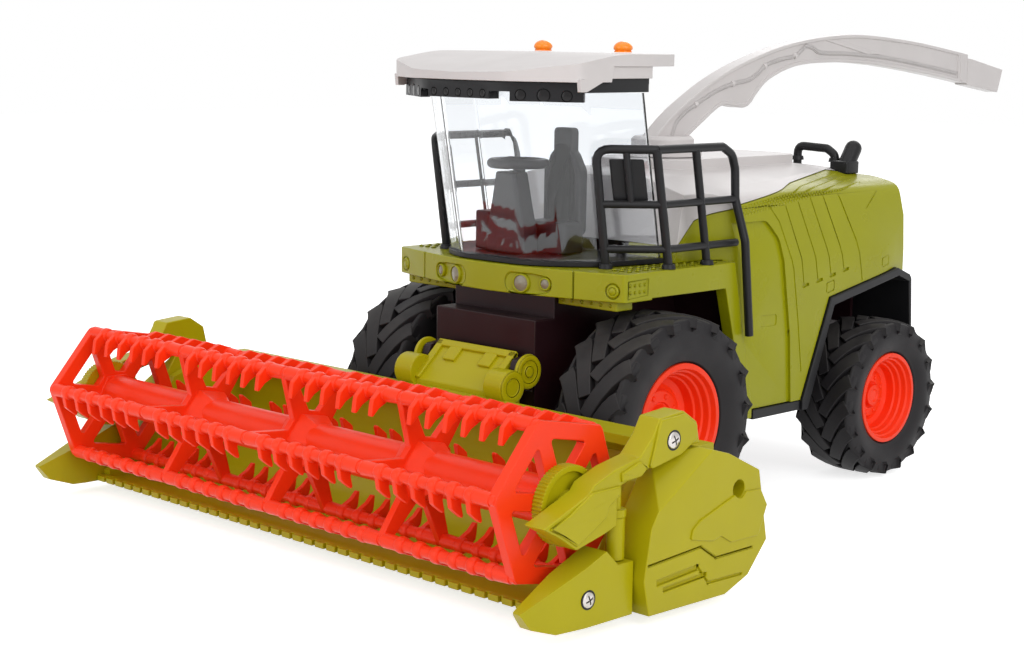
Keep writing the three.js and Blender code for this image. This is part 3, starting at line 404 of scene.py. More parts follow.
def build_effects():
    """The shared effects: uneven colour, moulded grain and settled dust."""
    colour = ("Colour", "NodeSocketColor", (0.8, 0.8, 0.8, 1))
    group, start, end = new_effect(
        "uneven_colour",
        [colour, ("Scale", "NodeSocketFloat", 60.0), ("Darkest", "NodeSocketFloat", 0.93)],
        [("Colour", "NodeSocketColor", None)],
    )
    level = spread(group, noise(group, start.outputs["Scale"]), start.outputs["Darkest"], 1.0)
    tint = add(group, "ShaderNodeMix", data_type="RGBA", blend_type="MULTIPLY")
    tint.inputs["Factor"].default_value = 1.0
    group.links.new(start.outputs["Colour"], tint.inputs["A"])
    group.links.new(level, tint.inputs["B"])
    group.links.new(tint.outputs["Result"], end.inputs["Colour"])

    group, start, end = new_effect(
        "moulded_grain",
        [
            ("Scale", "NodeSocketFloat", 900.0),
            ("Smoothest", "NodeSocketFloat", 0.3),
            ("Roughest", "NodeSocketFloat", 0.4),
        ],
        [("Roughness", "NodeSocketFloat", None), ("Height", "NodeSocketFloat", None)],
    )
    grain = noise(group, start.outputs["Scale"], 4.0)
    broad = noise(group, 90.0, 2.0)
    rough = spread(group, broad, start.outputs["Smoothest"], start.outputs["Roughest"])
    group.links.new(rough, end.inputs["Roughness"])
    group.links.new(grain, end.inputs["Height"])

    group, start, end = new_effect(
        "settled_dust",
        [
            colour,
            ("Dust", "NodeSocketColor", (0.5, 0.47, 0.42, 1)),
            ("Amount", "NodeSocketFloat", 0.1),
        ],
        [("Colour", "NodeSocketColor", None)],
    )
    facing = add(group, "ShaderNodeNewGeometry")
    parts = add(group, "ShaderNodeSeparateXYZ")
    group.links.new(facing.outputs["Normal"], parts.inputs["Vector"])
    upward = add(group, "ShaderNodeMapRange")
    upward.inputs["From Min"].default_value = 0.4
    upward.inputs["From Max"].default_value = 1.0
    group.links.new(parts.outputs["Z"], upward.inputs["Value"])
    patches = spread(group, noise(group, 70.0, 5.0), 0.0, start.outputs["Amount"])
    mask = add(group, "ShaderNodeMath", operation="MULTIPLY", use_clamp=True)
    group.links.new(upward.outputs["Result"], mask.inputs[0])
    group.links.new(patches, mask.inputs[1])
    cover = add(group, "ShaderNodeMix", data_type="RGBA")
    group.links.new(mask.outputs["Value"], cover.inputs["Factor"])
    group.links.new(start.outputs["Colour"], cover.inputs["A"])
    group.links.new(start.outputs["Dust"], cover.inputs["B"])
    group.links.new(cover.outputs["Result"], end.inputs["Colour"])


def place_effect(tree, name, **values):
    """A shared effect in a material, with its own values."""
    node = add(tree, "ShaderNodeGroup", node_tree=EFFECTS[name])
    for key, value in values.items():
        node.inputs[key.replace("_", " ")].default_value = value
    return node


def opaque_colour(colour):
    """A property's three numbers with a full fourth one."""
    return (*tuple(colour)[:3], 1.0)


def new_material(name):
    """An empty material with a Principled shader. Returns the material, its tree and shader."""
    material = bpy.data.materials.new(name)
    material.use_nodes = True
    tree = material.node_tree
    return material, tree, tree.nodes["Principled BSDF"]


def plastic(name, colour, smooth, rough, grain=900.0, depth=0.02, dust=0.02, **shader):
    """A moulded plastic: slightly uneven colour, fine grain and a little dust on top."""
    material, tree, surface = new_material(name)
    tone = place_effect(tree, "uneven_colour", Colour=opaque_colour(colour), Darkest=0.95)
    dusty = place_effect(tree, "settled_dust", Amount=dust)
    skin = place_effect(tree, "moulded_grain", Scale=grain, Smoothest=smooth, Roughest=rough)
    bump = add(tree, "ShaderNodeBump")
    bump.inputs["Strength"].default_value = 0.5
    bump.inputs["Distance"].default_value = depth * MM
    tree.links.new(tone.outputs["Colour"], dusty.inputs["Colour"])
    tree.links.new(dusty.outputs["Colour"], surface.inputs["Base Color"])
    tree.links.new(skin.outputs["Roughness"], surface.inputs["Roughness"])
    tree.links.new(skin.outputs["Height"], bump.inputs["Height"])
    tree.links.new(bump.outputs["Normal"], surface.inputs["Normal"])
    surface.inputs["Specular IOR Level"].default_value = 0.22
    for key, value in shader.items():
        surface.inputs[key.replace("_", " ")].default_value = value
    FINISHES[name] = material


def clear_plastic(name, colour):
    """Clear plastic that lamps shine through, with a faint uneven gloss."""
    material, tree, surface = new_material(name)
    tone = place_effect(tree, "uneven_colour", Colour=opaque_colour(colour), Scale=40.0)
    tone.inputs["Darkest"].default_value = 0.985
    skin = place_effect(tree, "moulded_grain", Scale=300.0, Smoothest=0.0, Roughest=0.012)
    tree.links.new(tone.outputs["Colour"], surface.inputs["Base Color"])
    tree.links.new(skin.outputs["Roughness"], surface.inputs["Roughness"])
    surface.inputs["Transmission Weight"].default_value = 1.0
    surface.inputs["IOR"].default_value = 1.45
    rays = add(tree, "ShaderNodeLightPath")
    through = add(tree, "ShaderNodeBsdfTransparent")
    choose = add(tree, "ShaderNodeMixShader")
    tree.links.new(rays.outputs["Is Shadow Ray"], choose.inputs["Fac"])
    tree.links.new(surface.outputs["BSDF"], choose.inputs[1])
    tree.links.new(through.outputs["BSDF"], choose.inputs[2])
    tree.links.new(choose.outputs["Shader"], tree.nodes["Material Output"].inputs["Surface"])
    FINISHES[name] = material


def bright_steel(name, colour):
    """Plated steel with faint wear, for the screws."""
    material, tree, surface = new_material(name)
    tone = place_effect(tree, "uneven_colour", Colour=opaque_colour(colour), Scale=400.0)
    tone.inputs["Darkest"].default_value = 0.8
    skin = place_effect(tree, "moulded_grain", Scale=1500.0, Smoothest=0.18, Roughest=0.35)
    tree.links.new(tone.outputs["Colour"], surface.inputs["Base Color"])
    tree.links.new(skin.outputs["Roughness"], surface.inputs["Roughness"])
    surface.inputs["Metallic"].default_value = 1.0
    FINISHES[name] = material


# What a user may change.


def tint(name, description, colour):
    """A colour property."""
    return FloatVectorProperty(
        name=name, description=description, default=colour, subtype="COLOR", min=0, max=1
    )


class HarvesterColours(bpy.types.PropertyGroup):
    """The plastics' colours"""

    body: tint("Body", "The lime body and front deck", shade(149, 149, 6))
    header: tint("Header", "The yellow-green header", shade(172, 162, 8))
    cover: tint("Cover", "The pale roof, hood cover and spout", shade(206, 201, 200))
    reel: tint("Reel", "The red-orange reel and rims", shade(248, 57, 18))
    trim: tint("Trim", "The black frames and arches", shade(27, 27, 29))
    inside: tint("Inside", "The dark cab inside and belly", shade(26, 25, 28))
    rubber: tint("Tyres", "The tyres' rubber", shade(30, 28, 30))
    amber: tint("Beacons", "The amber beacons", shade(255, 140, 20))
    clear: tint("Clear", "The clear cab", shade(246, 248, 250))
    steel: tint("Steel", "The screws", shade(205, 200, 196))


def length(name, description, default):
    """A length property, kept in metres and given here in millimetres."""
    return FloatProperty(
        name=name, description=description, default=default * MM, min=0, unit="LENGTH"
    )


class HarvesterSizes(bpy.types.PropertyGroup):
    """Sizes and counts of the moulded details"""

    lug_height: length("Lug height", "How far a lug's sides go down", 2.6)
    front_lugs: IntProperty(name="Front lugs", description="Lugs on each half", default=18, min=6)
    rear_lugs: IntProperty(name="Rear lugs", description="Lugs on each half", default=18, min=6)
    tines: IntProperty(name="Tines", description="Tines in each bay of a reel bar", default=6)
    tine_gap: length("Tine gap", "Distance between tines", 7.7)
    tine_width: length("Tine thickness", "A tine's thickness along its bar", 1.9)
    teeth: IntProperty(name="Cutter teeth", description="Teeth on the cutter bar", default=41)
    rail: length("Rail radius", "Radius of the railing's tube", 1.55)
    soft_edge: length("Soft edge", "Rounding of the moulded edges", 0.35)


def sizes():
    """The sizes in use."""
    return bpy.context.scene.harvester_sizes


# Wheels.


def polar(centre, angle, radius, x):
    """A point round a left-right axle, by its angle from the rear towards the top."""
    return (x, centre.y + radius * math.cos(angle), centre.z + radius * math.sin(angle))


# A lug's width in millimetres and how far round the tyre it sweeps.
FRONT_LUG = (6.0, math.radians(31))
REAR_LUG = (5.2, math.radians(28))
LUG_STATIONS = (0.0, 0.14, 0.32, 0.52, 0.72, 0.88, 1.0)


def tyre_lug(centre, half, radius, start, way, shape):
    """One bar of the tread, from near the middle of the tyre out over its shoulder."""
    wide, sweep = shape
    height = sizes().lug_height / MM
    places = []
    for t in LUG_STATIONS:
        places.append((way * half * (0.05 + 0.88 * t), start + sweep * (1 - t) ** 1.35))
    rings = []
    for k, (x, angle) in enumerate(places):
        ahead = places[min(k + 1, len(places) - 1)]
        behind = places[max(k - 1, 0)]
        run = Vector((ahead[0] - behind[0], (ahead[1] - behind[1]) * radius)).normalized()
        crown = radius - 0.1 - 1.3 * abs(x / half) ** 2.2
        ring = []
        for share, depth in ((0.62, -height - 1.0), (0.5, 0.0), (-0.5, 0.0), (-0.62, -height - 1.0)):
            reach = share * wide * (0.84 + 0.3 * LUG_STATIONS[k])
            turn = angle + run.x * reach / radius
            ring.append(polar(centre, turn, crown + depth, centre.x + x - run.y * reach))
        rings.append(ring)
    toe = []
    for share, depth in ((0.62, -6.0), (0.4, -2.5), (-0.4, -2.5), (-0.62, -6.0)):
        turn = places[-1][1] + share * wide * 1.14 / radius
        toe.append(polar(centre, turn, radius + depth, centre.x + way * half * 0.975))
    rings.append(toe)
    return loft(rings)


def tyre_solids(centre, width, radius, seat, lugs, shape):
    """A tyre's carcass, whose shoulder ring the lugs run into, and its chevron tread."""
    half = width / 2
    wall = radius - seat
    one_side = [
        (0.72, seat - 1.0),
        (0.8, seat + 0.3),
        (0.87, seat + 0.7),
        (0.9, seat + 1.8),
        (0.94, seat + 0.2 * wall),
        (0.985, seat + 0.36 * wall),
        (1.0, seat + 0.52 * wall),
        (0.985, radius - 5.6),
        (0.955, radius - 2.7),
        (0.91, radius - 1.6),
        (0.83, radius - 1.25),
        (0.77, radius - 2.6),
        (0.5, radius - 2.6),
        (0.1, radius - 2.5),
    ]
    profile = [(-share * half, r) for share, r in one_side]
    profile += [(share * half, r) for share, r in reversed(one_side)]
    solids = [lathe(profile, centre, steps=96, ring=True)]
    step = 2 * math.pi / lugs
    for k in range(lugs):
        solids.append(tyre_lug(centre, half, radius, k * step, 1, shape))
        solids.append(tyre_lug(centre, half, radius, (k + 0.5) * step, -1, shape))
    return solids


def rim_solids(centre, width, seat, side):
    """A deep rim: a flat lip, three steps, a dished disc with bolts and a hub."""
    half = width / 2
    front = [
        (0.78 * half, seat + 0.0),
        (0.86 * half, seat - 0.1),
        (0.87 * half, 0.905 * seat),
        (0.74 * half, 0.875 * seat),
        (0.71 * half, 0.84 * seat),
        (0.56 * half, 0.815 * seat),
        (0.53 * half, 0.78 * seat),
        (0.38 * half, 0.755 * seat),
        (0.35 * half, 0.72 * seat),
        (0.1 * half, 0.7 * seat),
        (0.02 * half, 0.6 * seat),
        (0.06 * half, 0.52 * seat),
        (0.16 * half, 0.48 * seat),
        (0.18 * half, 0.3 * seat),
        (0.12 * half, 0.28 * seat),
        (0.14 * half, 0.25 * seat),
        (0.3 * half, 0.235 * seat),
        (0.32 * half, 0.15 * seat),
        (0.27 * half, 0.12 * seat),
        (0.27 * half, 0.01),
    ]
    back = [(-0.2 * half, 0.01), (-0.2 * half, 0.68 * seat), (-0.78 * half, 0.86 * seat)]
    back.append((-0.8 * half, seat))
    profile = [(side * along, r) for along, r in back + front]
    solids = [lathe(profile, centre, steps=80)]
    for k in range(8):
        a = 2 * math.pi * (k + 0.5) / 8
        spot = polar(centre, a, 0.39 * seat, centre.x + side * 0.16 * half)
        solids.append(dome(spot, 0.058 * seat, 0.9, (side, 0, 0), 8, 2))
    return solids


def build_wheel(end, name, side, lugs, shape):
    """One tyre with its rim, from the CAD tyre's box."""
    tyre = f"{end}_tyre_{name}"
    rim = f"{end}_rim_{name}"
    low, high = node_box(tyre)
    rim_low, rim_high = node_box(rim)
    centre = (low + high) / 2
    width = high.x - low.x
    seat = (rim_high.z - rim_low.z) / 2
    body = f"wheel_{end}_{name}"
    solids = tyre_solids(centre, width, (high.z - low.z) / 2, seat, lugs, shape)
    piece(f"{tyre}_tread", solids, body, "tyre rubber", (tyre,), 0.35, 2)
    solids = rim_solids(centre, width, seat, side)
    piece(f"{rim}_dish", solids, body, "reel plastic", (rim,), 0.22, 2)


class HARVESTER_OT_wheels(bpy.types.Operator):
    """Builds the four lugged tyres and their stepped rims"""

    bl_idname = "harvester.wheels"
    bl_label = "Wheels"

    def execute(self, context):
        for name, side in SIDES:
            build_wheel("front", name, side, sizes().front_lugs, FRONT_LUG)
            build_wheel("rear", name, side, sizes().rear_lugs, REAR_LUG)
        return {"FINISHED"}


# Reel.

REEL_BAR_RING = 25.1
REEL_FIRST_BAR = 49.5
REEL_PLATES = (-111.8, -55.9, 0.0, 55.9, 111.8)


def reel_point(centre, angle, out, across=0.0):
    """A flat point of the reel: out along a bar's direction, and across it."""
    a = math.radians(angle)
    return (
        centre.y + out * math.cos(a) - across * math.sin(a),
        centre.z + out * math.sin(a) + across * math.cos(a),
    )


def reel_plates(centre):
    """The two hexagonal end plates, the spoked inner ones and the core."""
    angles = [REEL_FIRST_BAR + 60 * k for k in range(6)]
    solids = []
    for x in REEL_PLATES:
        if abs(x) > 100:
            outline = rounded([(*reel_point(centre, a, 27.0), 2.6) for a in angles], 5)
            windows = []
            for a in angles:
                corners = ((8.6, -1.9), (18.4, -7.6), (18.4, 7.6), (8.6, 1.9))
                shape = [reel_point(centre, a + 30, out, across) for out, across in corners]
                windows.append(prism(evened(shape, 0.8), x - 4, x + 4))
            solids.append(carve(prism(outline, x - 1.75, x + 1.75), windows))
        else:
            star = []
            for a in angles:
                star += [
                    reel_point(centre, a, 10.0, -3.4),
                    reel_point(centre, a, 25.0, -2.0),
                    reel_point(centre, a, 25.0, 2.0),
                    reel_point(centre, a, 10.0, 3.4),
                ]
            solids.append(prism(star, x - 1.3, x + 1.3))
            for way in (-1, 1):
                wide = [(x, *reel_point(centre, a, 10.4)) for a in angles]
                flat = [(x + way * 2.4, *reel_point(centre, a, 10.4)) for a in angles]
                thin = [(x + way * 8.0, *reel_point(centre, a, 7.2)) for a in angles]
                solids.append(loft([wide, flat, thin]))
    low, high = node_box("reel")
    solids.append(lathe([(-111.0, 7.0), (111.0, 7.0)], centre, steps=48))
    solids.append(lathe([(low.x, 3.0), (high.x, 3.0)], centre, steps=24))
    for way in (-1, 1):
        hub = [(way * 109.0, 8.4), (way * 114.6, 8.4)]
        solids.append(lathe(hub, centre, steps=6))
    return solids


TINE_LEAN = math.radians(17)
TINE = (
    (-2.2, -1.0),
    (-2.2, 1.0),
    (-1.0, 2.3),
    (1.5, 2.4),
    (4.8, 2.2),
    (6.0, 1.2),
    (8.6, -1.5),
    (8.0, -2.1),
    (4.8, -1.7),
    (1.5, -2.3),
    (-1.0, -2.3),
)


def tine_bar(centre, angle, reach):
    """One reel bar: a tube with a collar and a hooked blade at each tine."""
    set_up = sizes()
    across_y, across_z = reel_point(centre, angle, REEL_BAR_RING)
    solids = [tube([(-reach, across_y, across_z), (reach, across_y, across_z)], 1.85, 16)]
    blade = []
    for t, r in TINE:
        along = t * math.cos(TINE_LEAN) + r * math.sin(TINE_LEAN)
        out = r * math.cos(TINE_LEAN) - t * math.sin(TINE_LEAN)
        blade.append(reel_point(centre, angle, REEL_BAR_RING + out, along))
    gap = set_up.tine_gap / MM
    half = set_up.tine_width / MM / 2
    for left, right in zip(REEL_PLATES, REEL_PLATES[1:]):
        middle = (left + right) / 2
        for k in range(set_up.tines):
            x = middle + gap * (k - (set_up.tines - 1) / 2)
            solids.append(prism(blade, x - half, x + half))
            ring = (x, across_y, across_z)
            collar = [(-1.7, 2.0), (-1.3, 2.5), (-0.6, 2.65), (0.6, 2.65), (1.3, 2.5), (1.7, 2.0)]
            solids.append(lathe(collar, ring, steps=16))
        for edge, way in ((left, 1), (right, -1)):
            ring = (edge + way * 4.0, across_y, across_z)
            solids.append(lathe([(-3.2, 2.4), (3.2, 2.2)], ring, steps=16))
    return merge(solids)


class HARVESTER_OT_reel(bpy.types.Operator):
    """Builds the reel: plates, core, tined bars and the knurled side discs"""

    bl_idname = "harvester.reel"
    bl_label = "Reel"

    def execute(self, context):
        low, high = node_box("reel")
        centre = Vector((0, (low.y + high.y) / 2, (low.z + high.z) / 2))
        solids = reel_plates(centre)
        piece("reel_frame", solids, "reel", "reel plastic", ("reel",), 0.35)
        reach = node_box("reel_bar_1")[1].x
        for k in range(6):
            bar = tine_bar(centre, REEL_FIRST_BAR + 60 * k, reach)
            node = f"reel_bar_{k + 1}"
            piece(f"{node}_tines", [bar], "reel", "reel plastic", (node,), 0.3)
        for name, side in SIDES:
            self.disc(name, side, centre)
        return {"FINISHED"}

    def disc(self, name, side, centre):
        """A knurled disc between the reel's end plate and its arm."""
        node = f"reel_disc_{name}"
        low, high = node_box(node)
        radius = (high.z - low.z) / 2
        knurls = 64
        outline = []
        for k in range(knurls * 2):
            r = radius - (0.0 if k % 2 else 0.45)
            a = math.pi * k / knurls
            outline.append((centre.y + r * math.cos(a), centre.z + r * math.sin(a)))
        knurled = prism(outline, low.x + 0.3, high.x - 0.3)
        near = high.x if side > 0 else low.x
        hollow = lathe(
            [(-side * 1.6, radius - 2.0), (side * 2.0, radius - 2.0)], (near, *centre.yz), steps=48
        )
        solids = [carve(knurled, [hollow])]
        solids.append(lathe([(0.0, 4.6), (high.x - low.x, 4.6)], (low.x, *centre.yz), steps=32))
        piece(f"{node}_knurled", solids, "reel", "header plastic", (node,), 0.15)


# Header.


def flat(points, low, high, corner=0.0):
    """A plate of (y, z) points between two distances from the middle plane."""
    return prism(evened(points, corner) if corner else list(points), low, high)


def screw(centre, radius):
    """A flat domed screw head with a cross cut into it, facing to the left."""
    x, y, z = centre
    head = dome(centre, radius, radius * 0.3, (1, 0, 0), 28, 4)
    slots = []
    long = radius * 0.62
    for turn in (0.35, 0.35 + math.pi / 2):
        arm = [(-long, -0.26), (long, -0.26), (long, 0.26), (-long, 0.26)]
        c, s = math.cos(turn), math.sin(turn)
        shape = [(y + a * c - b * s, z + a * s + b * c) for a, b in arm]
        slots.append(prism(shape, x + radius * 0.02, x + radius * 2))
    return carve(head, slots)


COVER_OUTER = 131.0
FEEDER_PIVOT = (-119.5, 55.0)
FEEDER_FOOT = (0.0, -131.6, 48.4)
FEEDER_SLOPE = ((1.0, 0.0, 0.0), (0.0, 0.737, 0.676), (0.0, -0.676, 0.737))
COVER_PANEL = (
    (-136.3, 34.1),
    (-154.2, 28.5),
    (-157.8, 26.1),
    (-158.6, 23.2),
    (-148.2, 21.0),
    (-144.4, 21.9),
    (-139.4, 19.1),
    (-126.0, 18.9),
    (-122.0, 28.0),
    (-125.5, 33.5),
)
COVER_GROOVE = ((-177.0, 18.6), (-153.3, 20.1), (-146.0, 15.4), (-128.4, 15.5))


def groove(points, wide, depth, surface):
    """A narrow groove along (y, z) points, cut into a side face from its surface."""
    cutters = []
    for a, b in zip(points, points[1:]):
        run = Vector((b[0] - a[0], b[1] - a[1])).normalized()
        side = Vector((-run.y, run.x)) * wide / 2
        start = Vector(a) - run * wide / 2
        end = Vector(b) + run * wide / 2
        shape = [tuple(start - side), tuple(end - side), tuple(end + side), tuple(start + side)]
        cutters.append(prism(shape, surface - depth, surface + 3))
    return cutters


COVER_SLOTS = (((-172.3, 12.8), (-154.9, 14.0), 1.9), ((-169.5, 10.2), (-151.0, 11.1), 1.5))
COVER_FLANGE = ((-155.0, 14.6), (-149.5, 8.3), (-133.4, 8.0))
COVER_HOLE = (-135.5, 35.0, 2.8)


def side_cover(side, name):
    """The header's end casing, with its raised panel, grooves, slots and blind hole."""
    body = node_solid(f"side_cover_{name}")
    body = body if side > 0 else mirrored(body)
    cutters = groove(COVER_GROOVE, 0.7, 0.5, COVER_OUTER)
    for start, end, wide in COVER_SLOTS:
        cutters += groove((start, end), wide, 1.3, COVER_OUTER)
    cutters += groove(COVER_FLANGE, 0.8, 0.9, COVER_OUTER)
    casing = carve(body, cutters)
    panel = flat(COVER_PANEL, 128.0, COVER_OUTER + 0.6, 0.6)
    y, z, radius = COVER_HOLE
    hole = lathe([(-3.5, 0.01), (-3.5, radius), (3.0, radius), (3.0, 0.01)], (COVER_OUTER, y, z))
    panel = carve(panel, [hole])
    return [casing, panel]


class HARVESTER_OT_header(bpy.types.Operator):
    """Builds the header's trough, cutter bar, end casings, dividers, arms and lift posts"""

    bl_idname = "harvester.header"
    bl_label = "Header"

    def execute(self, context):
        self.trough()
        self.cutter()
        for name, side in SIDES:
            node = f"side_cover_{name}"
            self.header_piece(f"{node}_casing", sided(side_cover(side, name), side), (node,), 0.6)
            self.divider(name, side)
            self.arm(name, side)
            self.post(name)
        self.feeder()
        return {"FINISHED"}

    def header_piece(self, name, solids, nodes, soft=0.4, finish="header plastic"):
        """One piece that lifts with the header."""
        return piece(name, solids, "header", finish, nodes, soft)

    def trough(self):
        """The trough, in the CAD node's own shape."""
        solids = [node_solid("header_trough")]
        self.header_piece("header_trough_shell", solids, ("header_trough",), 0.5)

    def cutter(self):
        """The cutter bar, its row of square teeth and the ridge behind them."""
        low, high = node_box("cutter_bar")
        count = sizes().teeth
        pitch = (high.x - low.x) / count
        solids = [block((low.x, high.x), (low.y + 2.4, high.y), (low.z, high.z - 0.9))]
        solids.append(block((low.x, high.x), (high.y - 2.2, high.y), (low.z, high.z)))
        half = pitch * 0.38
        for k in range(count):
            x = low.x + pitch * (k + 0.5)
            solids.append(block((x - half, x + half), (low.y, low.y + 3.6), (low.z, high.z - 0.1)))
        self.header_piece("cutter_bar_teeth", solids, ("cutter_bar",), 0.3)

    def divider(self, name, side):
        """The pointed divider at the header's front corner, with its screw."""
        node = f"divider_{name}"
        solid = node_solid(node)
        self.header_piece(f"{node}_point", [solid], (node,), 0.6)
        spot = (127.0, -198.4, 12.1)
        self.screw_piece(f"{node}_screw", sided([screw(spot, 2.4)], side), spot, 2.4, side)

    def screw_piece(self, name, solids, centre, radius, side):
        """A bright screw on a black disc a little wider than itself, both lifting with the header. The
        disc is painted shade: it stands for the shadow in the recess round the screw.
        """
        piece(name, solids, "header", "bright steel", (), 0.08)
        # The well is painted shade: a black disc just proud of the surface, where the recess round the
        # screw is shaded.
        well = [(-0.5, 0.01), (-0.5, radius + 0.5), (0.06, radius + 0.5), (0.06, 0.01)]
        wells = sided([lathe(well, centre, steps=32)], side)
        piece(f"{name}_well", wells, "header", "trim plastic", (), 0)

    def arm(self, name, side):
        """The reel arm, with its raised blocks and its screw."""
        node = f"reel_arm_{name}"
        solid = node_solid(node)
        solid = solid if side > 0 else mirrored(solid)
        face = node_box(node)[1].x if side > 0 else -node_box(node)[0].x
        near = [(-168.2, 59.9), (-172.8, 46.2), (-170.9, 46.0), (-158.7, 48.3), (-151.5, 52.0)]
        near += [(-151.6, 56.4), (-157.4, 60.4)]
        nose = [(-197.0, 43.0), (-185.6, 43.2), (-185.1, 40.6), (-190.1, 37.7), (-191.3, 34.7)]
        nose += [(-199.6, 30.3), (-203.2, 28.4), (-208.6, 32.0), (-214.5, 35.2), (-206.0, 38.2)]
        step = [(-185.0, 46.6), (-176.8, 49.0), (-173.6, 46.6), (-176.6, 44.4), (-184.8, 43.9)]
        solids = [solid]
        for shape, corner in ((near, 0.8), (nose, 0.4), (step, 0.4)):
            solids.append(flat(shape, face - 2.0, face + 0.8, corner))
        self.header_piece(f"{node}_bracket", sided(solids, side), (node,), 0.5)
        spot = (face + 0.8, -162.6, 53.2)
        self.screw_piece(f"{node}_screw", sided([screw(spot, 2.6)], side), spot, 2.6, side)

    def post(self, name):
        """The lift post: a barrel with a collar, and its rod."""
        node = f"reel_post_{name}"
        low, high = node_box(node)
        x = (low.x + high.x) / 2
        y = (low.y + high.y) / 2
        barrel = [(0.0, 2.8), (12.6, 2.8), (12.7, 3.1), (15.0, 3.1), (15.1, 1.5)]
        barrel += [(high.z - low.z, 1.5)]
        solids = [lathe(barrel, (x, y, low.z), "z", 28)]
        self.header_piece(f"{node}_barrel", solids, (node,), 0.25)

    def feeder(self):
        """The neck between the header and the chassis, with its rim, pockets and round tabs."""
        solids = [node_solid("feeder_house")]
        slope = Matrix(FEEDER_SLOPE).transposed().to_4x4()
        slope.translation = FEEDER_FOOT
        raised = [
            block((16.4, 19.5), (0.0, 18.0), (-0.6, 1.1)),
            block((6.0, 11.8), (9.6, 15.6), (-0.6, 1.1)),
        ]
        solids += both_sides([moved(r, slope) for r in raised])
        solids.append(moved(block((-19.5, 19.5), (15.2, 18.2), (-0.6, 1.1)), slope))
        round_tab = [(18.3, 0.01), (18.3, 6.0), (26.8, 6.0), (27.4, 5.4), (27.4, 3.4)]
        round_tab += [(26.9, 3.0), (26.9, 0.01)]
        y, z = FEEDER_PIVOT
        pin_cap = [(24.8, 0.01), (24.8, 6.2), (26.0, 6.2), (26.6, 5.6), (26.6, 4.2), (26.1, 3.8)]
        pin_cap += [(26.1, 2.2), (26.6, 1.8), (26.6, 0.01)]
        caps = [lathe(round_tab, (0, -128.4, 50.6), steps=36), lathe(pin_cap, (0, y, z), steps=36)]
        solids += both_sides(caps)
        self.header_piece("feeder_neck", solids, ("feeder_house",), 0.5)


# Body.

HOOD_SIDE = 56.0
HOOD_BEND = 88.5
HOOD_SHOULDER = (51.5, 113.5)
HOOD_RIDGE = (22.0, 121.3)
COVER_LINE = ((-57.0, 105.0), (-36.0, 110.5), (6.0, 115.7), (44.3, 118.6), (65.3, 116.0))


def between(low, high, t):
    """A number part of the way from low to high."""
    return low + (high - low) * t


def hood_surface(z):
    """How far out the hood's skin lies at a height."""
    if z <= HOOD_BEND:
        return HOOD_SIDE
    if z <= HOOD_SHOULDER[1]:
        t = (z - HOOD_BEND) / (HOOD_SHOULDER[1] - HOOD_BEND)
        return between(HOOD_SIDE, HOOD_SHOULDER[0], t)
    t = (z - HOOD_SHOULDER[1]) / (HOOD_RIDGE[1] - HOOD_SHOULDER[1])
    return between(HOOD_SHOULDER[0], HOOD_RIDGE[0], t)


def cover_height(y):
    """The height of the line between the green hood and its pale cover."""
    for (y0, z0), (y1, z1) in zip(COVER_LINE, COVER_LINE[1:]):
        if y <= y1:
            return between(z0, z1, (y - y0) / (y1 - y0))
    return COVER_LINE[-1][1]


def clipped(outline, height, above):
    """The part of a (y, z) outline above or below a height."""
    keep = []
    for a, b in zip(outline, outline[1:] + outline[:1]):
        inside = (a[1] >= height) if above else (a[1] <= height)
        if inside:
            keep.append(a)
        if (a[1] - height) * (b[1] - height) < 0:
            keep.append((between(a[0], b[0], (height - a[1]) / (b[1] - a[1])), height))
    return keep


def hood_recess(outline, depth):
    """Cutters that sink an outline into the hood's side by a depth, over its bend."""
    cutters = []
    for part in (clipped(outline, HOOD_BEND, False), clipped(outline, HOOD_BEND, True)):
        if len(part) > 2:
            inner = [(hood_surface(z) - depth, y, z) for y, z in part]
            outer = [(hood_surface(z) + 4, y, z) for y, z in part]
            cutters.append(loft([inner, outer]))
    return cutters


def hood_line(points, wide=0.7, depth=0.32):
    """Cutters for a thin seam along (y, z) points on the hood's side."""
    cutters = []
    for a, b in zip(points, points[1:]):
        run = Vector((b[0] - a[0], b[1] - a[1])).normalized()
        side = Vector((-run.y, run.x)) * wide / 2
        start = Vector(a) - run * wide / 2
        end = Vector(b) + run * wide / 2
        shape = [tuple(start - side), tuple(end - side), tuple(end + side), tuple(start + side)]
        cutters += hood_recess(shape, depth)
    return cutters


